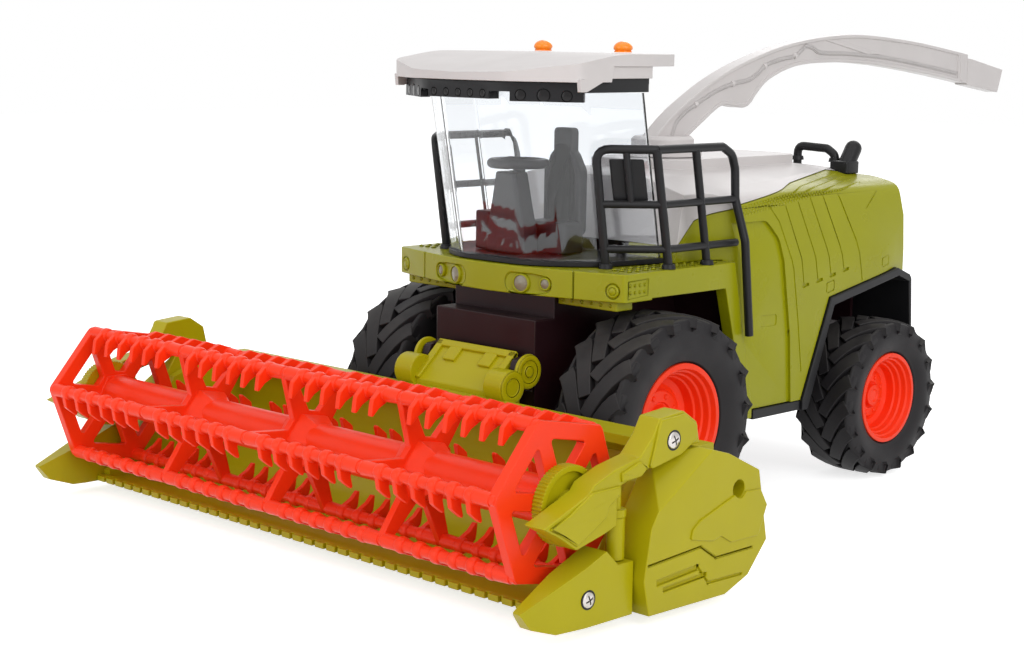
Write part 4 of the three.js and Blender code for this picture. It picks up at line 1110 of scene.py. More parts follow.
def hood_cutters():
    """Every seam, groove, latch and panel in the hood's near side."""
    panel = [(-66, 104), (-23, 104, 5), (-16.5, 97, 7), (-13, 78), (-9.8, 60), (-7.6, 30), (-66, 30)]
    cutters = hood_recess(rounded(panel, 4), 1.2)
    latch = rounded([(-27, 64.9, 1), (-17, 64.7, 1), (-17, 68.9, 1), (-27, 69.1, 1)], 3)
    cutters += hood_recess(latch, 1.5)
    cutters += hood_line(((-31, 62.6), (-10.4, 62.1)), depth=1.15)
    cutters += hood_line(((-20.5, 109), (-15.5, 103), (-9, 85), (-5.2, 65), (-2.2, 46)))
    tops = ((-10.5, 108.5), (-2.5, 109.5), (5.5, 110.5), (13.5, 111.5))
    feet = ((-2.0, 77.8), (6.8, 79.0), (15.2, 80.4), (23.7, 81.8))
    for top, foot in zip(tops, feet):
        middle = ((top[0] * 0.36 + foot[0] * 0.64) + 0.9, top[1] * 0.36 + foot[1] * 0.64)
        cutters += hood_line((top, middle, foot), 0.55, 0.4)
        notch = [(foot[0] - 0.4, foot[1] + 0.5), (foot[0] + 2.4, foot[1] + 0.9)]
        cutters += hood_line(notch, 1.2, 0.8)
    latch = [(12.6, 74.3, 0.7), (17.4, 75.3, 0.7), (17.4, 79.1, 0.7), (12.6, 78.3, 0.7)]
    cutters += ring_cut(latch)
    cutters += hood_line(((22.7, 113), (32.2, 93.4), (36.1, 77.5)))
    latch = [(49.6, 81.6, 0.7), (54.4, 82.6, 0.7), (54.4, 86.2, 0.7), (49.6, 85.2, 0.7)]
    cutters += ring_cut(latch)
    cutters += hood_line(((41.5, 105.4), (50.6, 112.4)))
    return cutters


def ring_cut(points):
    """A thin seam right round a small latch."""
    outline = rounded(points, 2)
    return hood_line(outline + outline[:1], 0.5, 0.35)


def hood_dots():
    """Rows of small dots under the cover's edge."""
    dots = []
    count = 46
    for row in range(4):
        for k in range(count):
            y = between(-36, 46, (k + 0.5 * (row % 2)) / count)
            z = cover_height(y) - 0.9 - 0.95 * row
            x = hood_surface(z)
            dots.append(dome((x, y, z), 0.45, 0.28, (0.35, 0, 1), 6, 1))
    return dots


class HARVESTER_OT_hood(bpy.types.Operator):
    """Builds the hood with its panels, seams and latches, and its pale cover"""

    bl_idname = "harvester.hood"
    bl_label = "Hood"

    def execute(self, context):
        shell = carve(node_solid("hood_shell"), both_sides(hood_cutters()))
        solids = [shell] + both_sides(hood_dots())
        piece("hood_panels", solids, "chassis", "body plastic", ("hood_shell",), 0.28)
        self.liners()
        solids = [node_solid("hood_cover")]
        piece(
            "hood_cover_skin", solids, "chassis", "cover plastic", ("hood_cover",), 0.4
        )
        low, high = node_box("turret_ring")
        centre = ((low.x + high.x) / 2, (low.y + high.y) / 2, low.z)
        radius = (high.x - low.x) / 2
        tall = high.z - low.z
        profile = [(0.0, 0.01), (0.0, radius), (tall * 0.6, radius), (tall, radius - 1.4)]
        profile += [(tall, 0.01)]
        ring = [lathe(profile, centre, "z", 56)]
        for k in range(20):
            a = 2 * math.pi * k / 20
            spot = (radius * 0.82 * math.cos(a), centre[1] + radius * 0.82 * math.sin(a), high.z)
            ring.append(dome(spot, 0.7, 0.3, (0, 0, 1), 8, 2))
        piece("turret_collar", ring, "chassis", "cover plastic", ("turret_ring",), 0.3)
        return {"FINISHED"}

    def liners(self):
        """The dark walls behind the front wheels and inside the hood."""
        wall = prism(WELL_WALL, 24.2, 49.5)
        inside = block((-23.5, 23.5), (0.0, 58.0), (56.0, 98.0))
        behind = block((-34.0, 34.0), (61.0, 62.6), (56.0, 90.0))
        solids = both_sides([wall]) + [inside, behind]
        piece("well_liners", solids, "chassis", "belly plastic", (), 0)


DECK_TURN = math.radians(13.2)
WELL_WALL = ((-31.75, 35.0), (-44.6, 90.6), (-45.1, 90.6), (-32.2, 35.0))


def bumper_matrix(x, y, z):
    """Where a detail sits on the bumper's slanted near half."""
    return Matrix.Translation((x, y, z)) @ Matrix.Rotation(DECK_TURN, 4, "Z")


def lamp(radius, depth=0.9):
    """A round lamp that faces forwards, at the origin."""
    profile = [(0.6, radius), (-depth * 0.4, radius), (-depth * 0.8, radius * 0.72), (-depth, 0.01)]
    return lathe([(0.6, 0.01)] + profile, (0, 0, 0), "y", 28)


class HARVESTER_OT_deck(bpy.types.Operator):
    """Builds the front deck with its lamps, studs and end blocks"""

    bl_idname = "harvester.deck"
    bl_label = "Front deck"

    def execute(self, context):
        recess = [(-9.6, -3.5, 3.2), (1.5, -3.5, 2), (9.6, -2.6, 2.5), (9.6, 2.6, 2.5)]
        recess = rounded(recess + [(1.5, 3.5, 2), (-9.6, 3.5, 3.2)], 5)
        spot = bumper_matrix(19.6, -114.5, 84.7)
        cutters = [moved(prism(recess, -4, 1.4, "y"), spot)]
        seam = block((-0.3, 0.3), (-4, 0.6), (-12, 12))
        cutters.append(moved(seam, bumper_matrix(37.3, -110.2, 85)))
        block_turn = Matrix.Translation((51.9, -106.2, 84.5)) @ Matrix.Rotation(0.27, 4, "Z")
        cutters.append(moved(lathe([(-4, 2.7), (0.8, 2.7)], (0, 0, 0), "y", 28), block_turn))
        panel = [(-103.2, 81.9), (-92.7, 82.6), (-92.7, 88.3), (-103.2, 87.8)]
        cutters.append(flat(panel, 55.9, 60, 0.4))
        solids = [carve(node_solid("front_deck"), both_sides(cutters))]
        extra = []
        for row in range(2):
            for k in range(4):
                y = -101.6 + 2.5 * k
                extra.append(dome((55.9, y, 84 + 2.4 * row), 0.75, 0.6, (1, 0, 0), 8, 2))
        extra.append(block((25.0, 52.4), (-104.4, -96), (77.4, 81.0), 0.6))
        for k in range(6):
            extra.append(dome((27.6 + 4.4 * k, -104.4, 79.2), 0.8, 0.4, (0, -1, 0), 8, 2))
        high = node_box("front_deck")[1]
        for row in range(3):
            for k in range(12):
                y = -98.0 + 4.2 * k
                x = 45.4 + 3.4 * row
                extra.append(dome((x, y, high.z - 0.02), 1.1, 0.7, (0, 0, 1), 10, 2))
        solids += both_sides(extra)
        piece("deck_bumper", solids, "chassis", "body plastic", ("front_deck",), 0.4)
        lamps = [moved(lamp(3.1), bumper_matrix(16.4, -113.9, 84.6))]
        lamps.append(moved(lamp(2.0), bumper_matrix(26.0, -111.8, 85.0)))
        piece("deck_lamps", both_sides(lamps), "chassis", "lamp glass", (), 0.15)
        ring = [(0.9, 2.3), (0.1, 2.3), (-0.2, 1.9), (-0.2, 1.5), (0.3, 1.2), (0.9, 1.2)]
        rings = [moved(lathe(ring, (0, 0, 0), "y", 28, True), block_turn)]
        for x, y, z, radius in ((16.4, -113.9, 84.6, 3.1), (26.0, -111.8, 85.0, 2.0)):
            collar = [(0.8, radius + 0.5), (-0.5, radius + 0.4), (-0.9, radius + 0.1)]
            collar += [(-0.9, radius - 0.3), (0.8, radius - 0.3)]
            spot = bumper_matrix(x, y, z)
            rings.append(moved(lathe(collar, (0, 0, 0), "y", 32, True), spot))
        rings.append(moved(lamp(1.3, 0.3), block_turn))
        piece("deck_side_lamps", both_sides(rings), "chassis", "body plastic", (), 0.1)
        return {"FINISHED"}


class HARVESTER_OT_chassis(bpy.types.Operator):
    """Finishes the chassis, axles, knuckles and battery box"""

    bl_idname = "harvester.chassis"
    bl_label = "Chassis"

    def execute(self, context):
        for name in ("front_axle", "rear_axle", "knuckle_left", "knuckle_right"):
            keep_node(name, "trim plastic", 0.4)
        keep_node("chassis_frame", "belly plastic", 0.5)
        keep_node("battery_box", "belly plastic", 0.5)
        return {"FINISHED"}


class HARVESTER_OT_arches(bpy.types.Operator):
    """Builds the rear arches and the studded running boards"""

    bl_idname = "harvester.arches"
    bl_label = "Arches and boards"

    def execute(self, context):
        for name, _ in SIDES:
            keep_node(f"rear_arch_{name}", "trim plastic", 0.5)
            node = f"running_board_{name}"
            low, high = node_box(node)
            solids = [node_solid(node)]
            rows = 4
            for row in range(rows):
                for k in range(11):
                    x = between(low.x + 1.4, high.x - 1.4, (row + 0.5) / rows)
                    y = between(low.y + 2.0, high.y - 2.0, (k + 0.5 * (row % 2)) / 10.5)
                    bump = [(x - 0.9, y - 0.35), (x + 0.9, y + 0.05)]
                    bump += [(x + 0.9, y + 0.5), (x - 0.9, y + 0.1)]
                    solids.append(prism(bump, high.z - 0.3, high.z + 0.35, "z"))
            piece(f"{node}_tread", solids, "chassis", "trim plastic", (node,), 0.2)
        return {"FINISHED"}


# Cab.

CAB_LEAN = 0.19


def shrunk(outline, wall):
    """A closed outline moved inwards by a wall's thickness."""
    out = []
    count = len(outline)
    for i, here in enumerate(outline):
        point = Vector(here)
        before = (point - Vector(outline[i - 1])).normalized()
        after = (Vector(outline[(i + 1) % count]) - point).normalized()
        inside = Vector((-before.y - after.y, before.x + after.x)).normalized()
        spread_out = max(inside.dot(Vector((-before.y, before.x))), 0.3)
        out.append(tuple(point + inside * wall / spread_out))
    return out


ROOF_LAMPS = ((25.2, -124.9, 150.0, 2.2), (32.1, -120.8, 150.0, 2.6), (39.0, -116.7, 149.9, 2.2))


class HARVESTER_OT_roof(bpy.types.Operator):
    """Builds the cab roof, its light bars and the amber beacons"""

    bl_idname = "harvester.roof"
    bl_label = "Roof"

    def execute(self, context):
        solids = [node_solid("cab_roof")]
        solids.append(block((-45.2, 45.2), (-101.5, -79.6), (155.8, 160.5), 1.0))
        piece("cab_roof_panel", solids, "chassis", "cover plastic", ("cab_roof",), 0.5)
        turn = math.atan2(13.0, 22.0)
        wells = []
        lenses = []
        for x, y, z, radius in ROOF_LAMPS:
            spot = Matrix.Translation((x, y, z)) @ Matrix.Rotation(turn, 4, "Z")
            well = [(-2, radius - 0.2), (0.7, radius - 0.2)]
            wells.append(moved(lathe(well, (0, 0, 0), "y", 20), spot))
            lenses.append(moved(lamp(radius - 0.5, 0.2), spot))
        wells = both_sides(wells)
        lenses = both_sides(lenses)
        for k in range(5):
            spot = Matrix.Translation((6.0 * (k - 2), -129.8, 150.3))
            wells.append(moved(lathe([(-2, 1.5), (0.7, 1.5)], (0, 0, 0), "y", 20), spot))
            lenses.append(moved(lamp(1.25, 0.2), spot))
        solids = [carve(node_solid("roof_frame"), wells)]
        piece("roof_bars", solids, "chassis", "trim plastic", ("roof_frame",), 0.3)
        piece("roof_lamps", lenses, "chassis", "dark lens", (), 0.1)
        for name, _ in SIDES:
            node = f"beacon_{name}"
            low, high = node_box(node)
            radius = (high.x - low.x) / 2
            tall = high.z - low.z
            profile = [(0.0, 0.01), (0.0, radius), (tall * 0.12, radius), (tall * 0.14, radius * 0.9)]
            profile.append((tall * 0.24, radius * 1.04))
            for step in range(9):
                a = math.pi / 2 * step / 8
                rise = tall * (0.36 + 0.64 * math.sin(a))
                profile.append((rise, max(radius * 1.1 * math.cos(a), 0.02)))
            centre = ((low.x + high.x) / 2, (low.y + high.y) / 2, low.z)
            solids = [lathe(profile, centre, "z", 36)]
            piece(f"{node}_lens", solids, "chassis", "amber lens", (node,), 0)
        return {"FINISHED"}


class HARVESTER_OT_cab(bpy.types.Operator):
    """Builds the clear cab and what stands inside it"""

    bl_idname = "harvester.cab"
    bl_label = "Cab"

    def execute(self, context):
        self.glass()
        keep_node("cab_floor", "inside plastic", 0.2)
        self.seat()
        self.console()
        return {"FINISHED"}

    def glass(self):
        """The clear cab, as one smooth thin shell that leans forwards."""
        low, high = node_box("cab_glass")
        front = low.y + CAB_LEAN * (high.z - low.z)
        half = [(0.0, 0.0), (15.5, 0.2, 6), (27.5, 6.7, 5), (37.4, 18.0, 7), (43.0, high.y - front, 1.5)]
        plan = [(x, front + y, *radius) for x, y, *radius in half]
        plan += [(-x, y, *radius) for x, y, *radius in plan[:0:-1]]
        outer = rounded(plan, 6)
        inner = shrunk(outer, 1.0)
        tall = high.z - low.z
        rings = []
        for outline, levels in ((outer, (0.0, 0.5, 1.0)), (inner, (1.0, 0.5, 0.0))):
            for share in levels:
                lean = CAB_LEAN * tall * share
                rings.append([(x, y - lean, low.z + tall * share) for x, y in outline])
        solids = [loft(rings, True)]
        finish = "clear cab plastic"
        piece("cab_shell", solids, "chassis", finish, ("cab_glass",), 0)

    def seat(self):
        """The driver's seat: cushion, shouldered back and narrow headrest."""
        low, high = node_box("driver_seat")
        middle = (low.x + high.x) / 2
        half = (high.x - low.x) / 2
        top = high.z
        back = [(-half, low.z + 6, 3), (half, low.z + 6, 3), (half, top - 15, 3)]
        back += [(half * 0.62, top - 9.2, 2), (half * 0.5, top - 8.2, 0.5), (half * 0.5, top, 1.6)]
        back += [(-half * 0.5, top, 1.6), (-half * 0.5, top - 8.2, 0.5)]
        back += [(-half * 0.62, top - 9.2, 2), (-half, top - 15, 3)]
        shape = [(middle + a, z) for a, z in rounded(back, 4)]
        solids = [prism(shape, high.y - 4.2, high.y, "y")]
        inset = [(middle + 0.66 * a, between(z, top - 22, 0.3)) for a, z in rounded(back, 4)]
        solids[0] = carve(solids[0], [prism(inset, high.y - 6, high.y - 3.6, "y")])
        rest = block((low.x, high.x), (low.y, high.y - 0.6), (low.z, low.z + 11.5), 2.5)
        solids.append(rest)
        piece(
            "seat_shape", solids, "chassis", "inside plastic", ("driver_seat",), 0.8, 3
        )

    def console(self):
        """The control console and the steering wheel."""
        low, high = node_box("control_console")
        middle = (low.x + high.x) / 2
        rings = []
        for share, half in ((0.0, 9.0), (0.3, 9.0), (0.62, 7.0), (1.0, 5.0)):
            z = between(low.z, high.z, share)
            back = high.y - 1.6 * share
            rings.append([
                (middle - half, low.y, z),
                (middle + half, low.y, z),
                (middle + half, back, z),
                (middle - half, back, z),
            ])
        solids = [loft(rings)]
        solids.append(block((-21.0, -14.0), (-100.0, -86.0), (low.z, low.z + 14.0), 1.0))
        finish = "inside plastic"
        node = "control_console"
        piece("console_shape", solids, "chassis", finish, (node,), 0.8, 3)
        low, high = node_box("steering_wheel")
        centre = (low + high) / 2
        thick = 1.75
        radius = (high.x - low.x) / 2 - thick
        top = high.z - thick
        ring = []
        for k in range(40):
            a = 2 * math.pi * k / 40
            ring.append((centre.x + radius * math.cos(a), centre.y + radius * math.sin(a), top))
        solids = [tube(ring, thick, 14, closed=True)]
        solids.append(tube([(centre.x, centre.y, low.z), (centre.x, centre.y, top - 0.6)], 2.6, 20))
        for k in range(3):
            a = math.radians(90 + 120 * k)
            end = (centre.x + radius * math.cos(a), centre.y + radius * math.sin(a), top)
            solids.append(tube([(centre.x, centre.y, top - 1.6), end], 1.1, 10))
        piece(
            "steering_wheel_rim",
            solids,
            "chassis",
            "inside plastic",
            ("steering_wheel",),
            0,
        )


# Railings and mirrors.

RAIL_OUT = 54.5
RAIL_LOW = 90.8
RAIL_TALL = 41.2


def corner_post(h):
    """The leaning front corner of the railing, by its share of the height."""
    return (RAIL_OUT, -88 + 8 * (1 - h), RAIL_LOW + RAIL_TALL * h)


def inner_post(h):
    """The foot-to-top line of the railing's inner front post."""
    return (40.0, -88 + 8 * (1 - h) - 16.5 + 1.5 * h, RAIL_LOW + RAIL_TALL * h)


def railing():
    """The left railing: front frame, side rail, grab rail, bars and feet."""
    r = sizes().rail / MM
    corner = [corner_post(1.0), corner_post(0.0)]
    top = [inner_post(0.0), inner_post(1.0), corner_post(1.0)]
    grab = [(54.5, -52, 132), (54.5, -46.5, 129.1), (54.5, -44.5, 123.8), (54.5, -43.8, 113.1)]
    grab += [(59.1, -43.2, 98.1), (59.1, -39, 63.5)]
    bars = [tube(bent(top + [grab[0]], 4.5, 5), r)]
    bars.append(tube(bent([corner_post(1.0)] + grab, 5, 4), r))
    bars.append(tube(corner, r))
    middle = [(x, y + 21, z) for x, y, z in corner]
    bars.append(tube(middle, r * 0.95))
    for share, end in ((0.54, -44.1), (0.16, -42.6)):
        start = corner_post(share)
        bars.append(tube([start, (RAIL_OUT, end, start[2])], r * 0.9))
        bars.append(tube([inner_post(share), start], r * 0.9))
    hanger = [(a + b) / 2 for a, b in zip(corner_post(1.0), inner_post(1.0))]
    foot = [(a + b) / 2 for a, b in zip(corner_post(0.54), inner_post(0.54))]
    bars.append(tube([hanger, foot], r * 0.8))
    for x, y, z in (corner_post(0.0), inner_post(0.0), middle[1]):
        bars.append(lathe([(-0.2, 2.5), (1.4, 2.2)], (x, y, z), "z", 20))
    return bars


class HARVESTER_OT_railings(bpy.types.Operator):
    """Builds both railings and the ribbed mirrors"""

    bl_idname = "harvester.railings"
    bl_label = "Railings and mirrors"

    def execute(self, context):
        for name, side in SIDES:
            node = f"railing_{name}"
            solids = sided(railing(), side)
            piece(f"{node}_tubes", solids, "chassis", "trim plastic", (node,), 0)
            node = f"mirror_{name}"
            solids = [node_solid(node)]
            piece(f"{node}_shell", solids, "chassis", "trim plastic", (node,), 0.6)
        return {"FINISHED"}


# Spout, exhaust and handle.

SPOUT_TOP = (
    (-33, 128.5),
    (-20.5, 139.1),
    (-7.5, 146.9),
    (8.2, 154.6),
    (28.7, 161.8),
    (54.2, 168),
    (81.2, 171.4),
    (108, 172.4),
    (145.1, 170.1),
    (172.8, 167),
    (192.1, 164.5),
)
SPOUT_BELLY = (
    (192.1, 151.3),
    (149.9, 156.6),
    (111.1, 160.1),
    (81.9, 160.7),
    (59.5, 159.1),
    (42.2, 153.9),
    (34, 148.2),
    (29.9, 144.3),
    (24.8, 142.7),
    (12.3, 143.8),
    (1.2, 138.1),
    (-14.5, 128.5),
)
SPOUT_PIPE = (
    (-19, 130),
    (-16.5, 136.5),
    (-11.9, 140.7),
    (-4.1, 144.4),
    (7.4, 149.2),
    (18.7, 152.2),
    (29, 153.7),
    (35.4, 156.6),
    (39.2, 159.2),
    (48.5, 161.7),
    (59.3, 163.3),
    (64, 165.8),
    (67.3, 167.4),
    (72.3, 166.4),
    (77.4, 164.7),
    (97.7, 164.3),
    (128.1, 162.6),
    (160.3, 158.9),
    (184.1, 155.9),
)
SPOUT_HALF = 3.4
SPOUT_BRACE = ((77, 170.4), (87, 170.4), (121.7, 164.2), (111.1, 164.2))


def smooth_line(points, steps=4):
    """More points along a line, on a curve through the given ones."""
    ends = [points[0]] + list(points) + [points[-1]]
    out = []
    for a, b, c, d in zip(ends, ends[1:], ends[2:], ends[3:]):
        for k in range(steps):
            t = k / steps
            row = []
            for p, q, r, s in zip(a, b, c, d):
                row.append(
                    0.5 * (2 * q + (r - p) * t + (2 * p - 5 * q + 4 * r - s) * t * t
                           + (3 * q - p - 3 * r + s) * t ** 3)
                )
            out.append(tuple(row))
    out.append(tuple(points[-1]))
    return out


def inward(points, distance):
    """A line moved sideways by a distance, to the right of its own direction."""
    out = []
    for i, here in enumerate(points):
        ahead = Vector(points[min(i + 1, len(points) - 1)])
        behind = Vector(points[max(i - 1, 0)])
        run = (ahead - behind).normalized()
        out.append((here[0] + run.y * distance, here[1] - run.x * distance))
    return out


class HARVESTER_OT_spout(bpy.types.Operator):
    """Builds the discharge spout with its recessed sides and raised pipe, and its flap"""

    bl_idname = "harvester.spout"
    bl_label = "Spout"

    def execute(self, context):
        low = node_box("discharge_spout")[0]
        half = SPOUT_HALF
        top = smooth_line(SPOUT_TOP)
        belly = smooth_line(SPOUT_BELLY)
        outline = top + belly
        body = prism(outline, -half, half)
        hollow_top = inward([p for p in top if p[0] < 187.0], 1.4)
        hollow_belly = inward([p for p in belly if p[0] < 187.0], 1.4)
        hollow = prism(hollow_top + hollow_belly, half - 0.7, half + 3)
        solids = [carve(body, both_sides([hollow]))]
        neck = [(0.0, 0.01), (0.0, 12.0), (3.0, 12.0), (4.2, 10.8), (4.2, 0.01)]
        solids.append(lathe(neck, (0, -20, low.z), "z", 48))
        pipe = [(half - 0.8, y, z) for y, z in smooth_line(SPOUT_PIPE, 3)]
        extra = [tube(pipe, 0.95, 10)]
        for spot in (3, 5, 8, 10):
            here = Vector((half - 0.8, *SPOUT_PIPE[spot]))
            ahead = Vector((half - 0.8, *SPOUT_PIPE[spot + 1]))
            run = (ahead - here).normalized()
            extra.append(tube([here - run * 0.9, here + run * 0.9], 1.25, 12))
        extra.append(prism(SPOUT_BRACE, half - 1.2, half - 0.25))
        collar = [(185.6, 164.9), (188.0, 164.6), (188.4, 152.3), (186.0, 152.6)]
        extra.append(prism(collar, half - 1, half + 0.3))
        solids += both_sides(extra)
        piece(
            "spout_chute", solids, "spout", "cover plastic", ("discharge_spout",), 0.35
        )
        flap = node_box("spout_flap")[0]
        pivot = Matrix.Translation((0, flap.y, flap.z + 4.0))
        slim = pivot @ Matrix.Diagonal((0.85, 1.0, 0.84, 1.0)) @ pivot.inverted()
        solids = [moved(node_solid("spout_flap"), slim)]
        piece("spout_flap_shell", solids, "spout", "cover plastic", ("spout_flap",), 0.4)
        return {"FINISHED"}


class HARVESTER_OT_exhaust(bpy.types.Operator):
    """Builds the fat exhaust pipe and the looped handle behind the spout"""

    bl_idname = "harvester.exhaust"
    bl_label = "Exhaust and handle"

    def execute(self, context):
        low, high = node_box("exhaust_pipe")
        x = (low.x + high.x) / 2
        tip = Vector((x, high.y - 3.4, high.z - 3.4))
        foot = Vector((x, tip.y - 6.0, low.z + 1.0))
        way = (tip - foot).normalized()
        path = [foot, tip] + [tip + way * s for s in (1.2, 2.2, 2.9, 3.3)]
        solids = [tube(path, [3.4, 3.4, 3.2, 2.6, 1.7, 0.3], 28)]
        base = block((low.x, high.x), (low.y, tip.y - 1.4), (low.z, tip.z - 4.6), 1.2)
        solids.append(base)
        self.black_piece("exhaust_tube", solids, "exhaust_pipe", 0.5)
        low, high = node_box("rear_handle")
        r = 1.75
        y = (low.y + high.y) / 2
        left, right, top = low.x + r, high.x - r, high.z - r
        path = [(left, y, low.z), (left, y, top), (right - 4, y, top - 0.6), (right, y, top - 3)]
        path.append((right, y, low.z))
        solids = [tube(bent(path, 3.2, 5), r, 16)]
        for x in (left, right):
            solids.append(lathe([(0.0, 2.6), (1.6, 2.3)], (x, y, low.z + 3.4), "z", 20))
        self.black_piece("rear_handle_loop", solids, "rear_handle", 0)
        return {"FINISHED"}

    def black_piece(self, name, solids, node, soft):
        """One black piece on the hood."""
        piece(name, solids, "chassis", "trim plastic", (node,), soft)


# Stage.

CAMERA_PLACE = (0.47472, -0.58463, 0.16875)
CAMERA_AZIMUTH = 44.5
CAMERA_ELEVATION = 8.83
CAMERA_ROLL = 0.83
CAMERA_LENS = 66.76
FLOOR_SIZE = 6.0


class HARVESTER_OT_stage(bpy.types.Operator):
    """Builds the pale floor, the soft studio lamps, the world and the camera"""

    bl_idname = "harvester.stage"
    bl_label = "Stage"

    def execute(self, context):
        self.floor()
        self.world()
        self.lamps()
        self.camera()
        context.scene.view_settings.view_transform = "Standard"
        return {"FINISHED"}

    def floor(self):
        """A plain pale floor that keeps the object's shadow."""
        half = FLOOR_SIZE / 2
        mesh = bpy.data.meshes.new("floor")
        rim = [(-half, -half, 0), (half, -half, 0), (half, half, 0), (-half, half, 0)]
        mesh.from_pydata(rim, [], [(0, 1, 2, 3)])
        floor = bpy.data.objects.new("floor", mesh)
        floor.location.z = -0.0002
        bpy.context.scene.collection.objects.link(floor)
        material = bpy.data.materials.new("pale floor")
        material.use_nodes = True
        tree = material.node_tree
        tree.nodes.remove(tree.nodes["Principled BSDF"])
        paint = add(tree, "ShaderNodeBsdfDiffuse")
        paint.inputs["Color"].default_value = (0.8, 0.8, 0.8, 1)
        glow = add(tree, "ShaderNodeEmission")
        glow.inputs["Color"].default_value = (1, 1, 1, 1)
        seen = self.seen_rays(tree)
        strength = add(tree, "ShaderNodeMath", operation="MULTIPLY")
        strength.inputs[1].default_value = 0.72
        both = add(tree, "ShaderNodeAddShader")
        tree.links.new(seen, strength.inputs[0])
        tree.links.new(strength.outputs["Value"], glow.inputs["Strength"])
        tree.links.new(paint.outputs["BSDF"], both.inputs[0])
        tree.links.new(glow.outputs["Emission"], both.inputs[1])
        tree.links.new(both.outputs["Shader"], tree.nodes["Material Output"].inputs["Surface"])
        mesh.materials.append(material)

    def seen_rays(self, tree):
        """One for rays from the camera, or ones that mirrors and glass pass on."""
        rays = add(tree, "ShaderNodeLightPath")
        first = add(tree, "ShaderNodeMath", operation="ADD", use_clamp=True)
        second = add(tree, "ShaderNodeMath", operation="ADD", use_clamp=True)
        tree.links.new(rays.outputs["Is Camera Ray"], first.inputs[0])
        tree.links.new(rays.outputs["Is Glossy Ray"], first.inputs[1])
        tree.links.new(first.outputs["Value"], second.inputs[0])
        tree.links.new(rays.outputs["Is Transmission Ray"], second.inputs[1])
        return second.outputs["Value"]

    def world(self):
        """A white surround that lights the object only softly."""
        world = bpy.data.worlds.new("white surround")
        world.use_nodes = True
        tree = world.node_tree
        surround = tree.nodes["Background"]
        surround.inputs["Color"].default_value = (1, 1, 1, 1)
        level = add(tree, "ShaderNodeMapRange")
        level.inputs["To Min"].default_value = 0.46
        level.inputs["To Max"].default_value = 1.0
        tree.links.new(self.seen_rays(tree), level.inputs["Value"])
        tree.links.new(level.outputs["Result"], surround.inputs["Strength"])
        bpy.context.scene.world = world

    def lamps(self):
        """Large soft lamps: one over the front, one on each side."""
        plan = (
            ("over lamp", (0.1, -0.2, 1.5), 1.6, 6.6),
            ("left lamp", (1.3, -0.5, 0.7), 1.2, 11.0),
            ("front lamp", (-0.3, -1.5, 0.6), 1.2, 7.2),
            ("back lamp", (-0.6, 1.3, 0.9), 1.0, 5.2),
        )
        for name, place, size, power in plan:
            light = bpy.data.lights.new(name, "AREA")
            light.shape = "SQUARE"
            light.size = size
            light.energy = power
            made = bpy.data.objects.new(name, light)
            made.location = place
            aim = Vector((0, 0, 0.08)) - Vector(place)
            made.rotation_euler = aim.to_track_quat("-Z", "Y").to_euler()
            bpy.context.scene.collection.objects.link(made)

    def camera(self):
        """The camera, level with the cab and to the left of the front."""
        a = math.radians(CAMERA_AZIMUTH)
        e = math.radians(CAMERA_ELEVATION)
        r = math.radians(CAMERA_ROLL)
        back = Vector((math.sin(a) * math.cos(e), -math.cos(a) * math.cos(e), math.sin(e)))
        right = Vector((0, 0, 1)).cross(back).normalized()
        up = back.cross(right)
        turned_right = right * math.cos(r) + up * math.sin(r)
        turned_up = up * math.cos(r) - right * math.sin(r)
        lens = bpy.data.cameras.new("camera")
        lens.sensor_width = 36.0
        lens.lens = CAMERA_LENS
        lens.clip_start = 0.01
        made = bpy.data.objects.new("camera", lens)
        turn = Matrix((turned_right, turned_up, back)).transposed()
        made.matrix_world = Matrix.Translation(CAMERA_PLACE) @ turn.to_4x4()
        bpy.context.scene.collection.objects.link(made)
        bpy.context.scene.camera = made


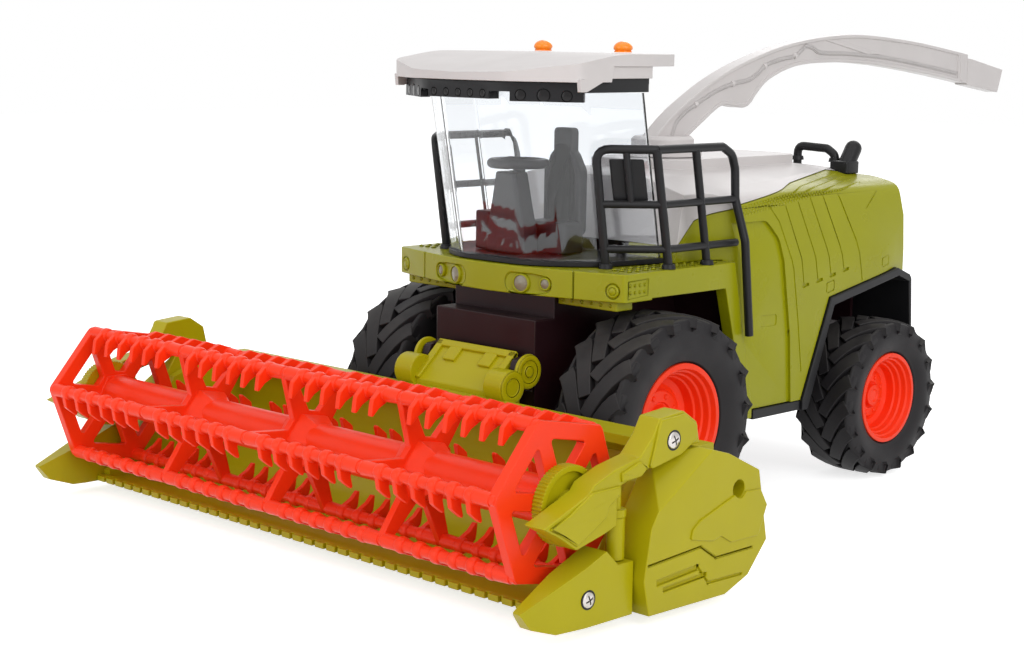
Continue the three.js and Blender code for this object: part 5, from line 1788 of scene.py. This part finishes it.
class HARVESTER_OT_finishes(bpy.types.Operator):
    """Makes the shared effects and the material of each plastic"""

    bl_idname = "harvester.finishes"
    bl_label = "Finishes"

    def execute(self, context):
        build_effects()
        c = context.scene.harvester_colours
        plastic("body plastic", c.body, 0.26, 0.34)
        plastic("header plastic", c.header, 0.3, 0.4)
        plastic("cover plastic", c.cover, 0.3, 0.38)
        plastic("reel plastic", c.reel, 0.28, 0.36, dust=0.03)
        plastic("trim plastic", c.trim, 0.34, 0.44)
        plastic("inside plastic", c.inside, 0.38, 0.48)
        plastic("belly plastic", shade(34, 16, 20), 0.3, 0.4)
        plastic("tyre rubber", c.rubber, 0.5, 0.62, grain=600.0, depth=0.05, dust=0.1)
        plastic("lamp glass", shade(126, 119, 98), 0.1, 0.16, grain=700.0, depth=0.5, Coat_Weight=0.6)
        plastic("dark lens", shade(30, 29, 30), 0.08, 0.14)
        plastic("amber lens", c.amber, 0.08, 0.14, Coat_Weight=0.4)
        clear_plastic("clear cab plastic", c.clear)
        bright_steel("bright steel", c.steel)
        return {"FINISHED"}


class HARVESTER_PT_pieces(bpy.types.Panel):
    """Lists the colours, sizes and pieces of the harvester"""

    bl_idname = "HARVESTER_PT_pieces"
    bl_label = "Toy Harvester"
    bl_space_type = "VIEW_3D"
    bl_region_type = "UI"
    bl_category = "Harvester"

    def draw(self, context):
        for group in (context.scene.harvester_colours, context.scene.harvester_sizes):
            column = self.layout.column(align=True)
            for key in type(group).__annotations__:
                column.prop(group, key)
        column = self.layout.column(align=True)
        for operator in OPERATORS:
            column.operator(operator.bl_idname)


OPERATORS = (
    HARVESTER_OT_finishes,
    HARVESTER_OT_stage,
    HARVESTER_OT_chassis,
    HARVESTER_OT_wheels,
    HARVESTER_OT_hood,
    HARVESTER_OT_deck,
    HARVESTER_OT_arches,
    HARVESTER_OT_cab,
    HARVESTER_OT_roof,
    HARVESTER_OT_railings,
    HARVESTER_OT_spout,
    HARVESTER_OT_exhaust,
    HARVESTER_OT_header,
    HARVESTER_OT_reel,
)
CLASSES = (HarvesterColours, HarvesterSizes, *OPERATORS, HARVESTER_PT_pieces)


def register():
    for used in CLASSES:
        bpy.utils.register_class(used)
    bpy.types.Scene.harvester_colours = PointerProperty(type=HarvesterColours)
    bpy.types.Scene.harvester_sizes = PointerProperty(type=HarvesterSizes)


def unregister():
    del bpy.types.Scene.harvester_sizes
    del bpy.types.Scene.harvester_colours
    for used in reversed(CLASSES):
        bpy.utils.unregister_class(used)


def main():
    """Builds every piece in order."""
    register()
    for operator in OPERATORS:
        group, action = operator.bl_idname.split(".")
        getattr(getattr(bpy.ops, group), action)()


if __name__ == "__main__":
    main()
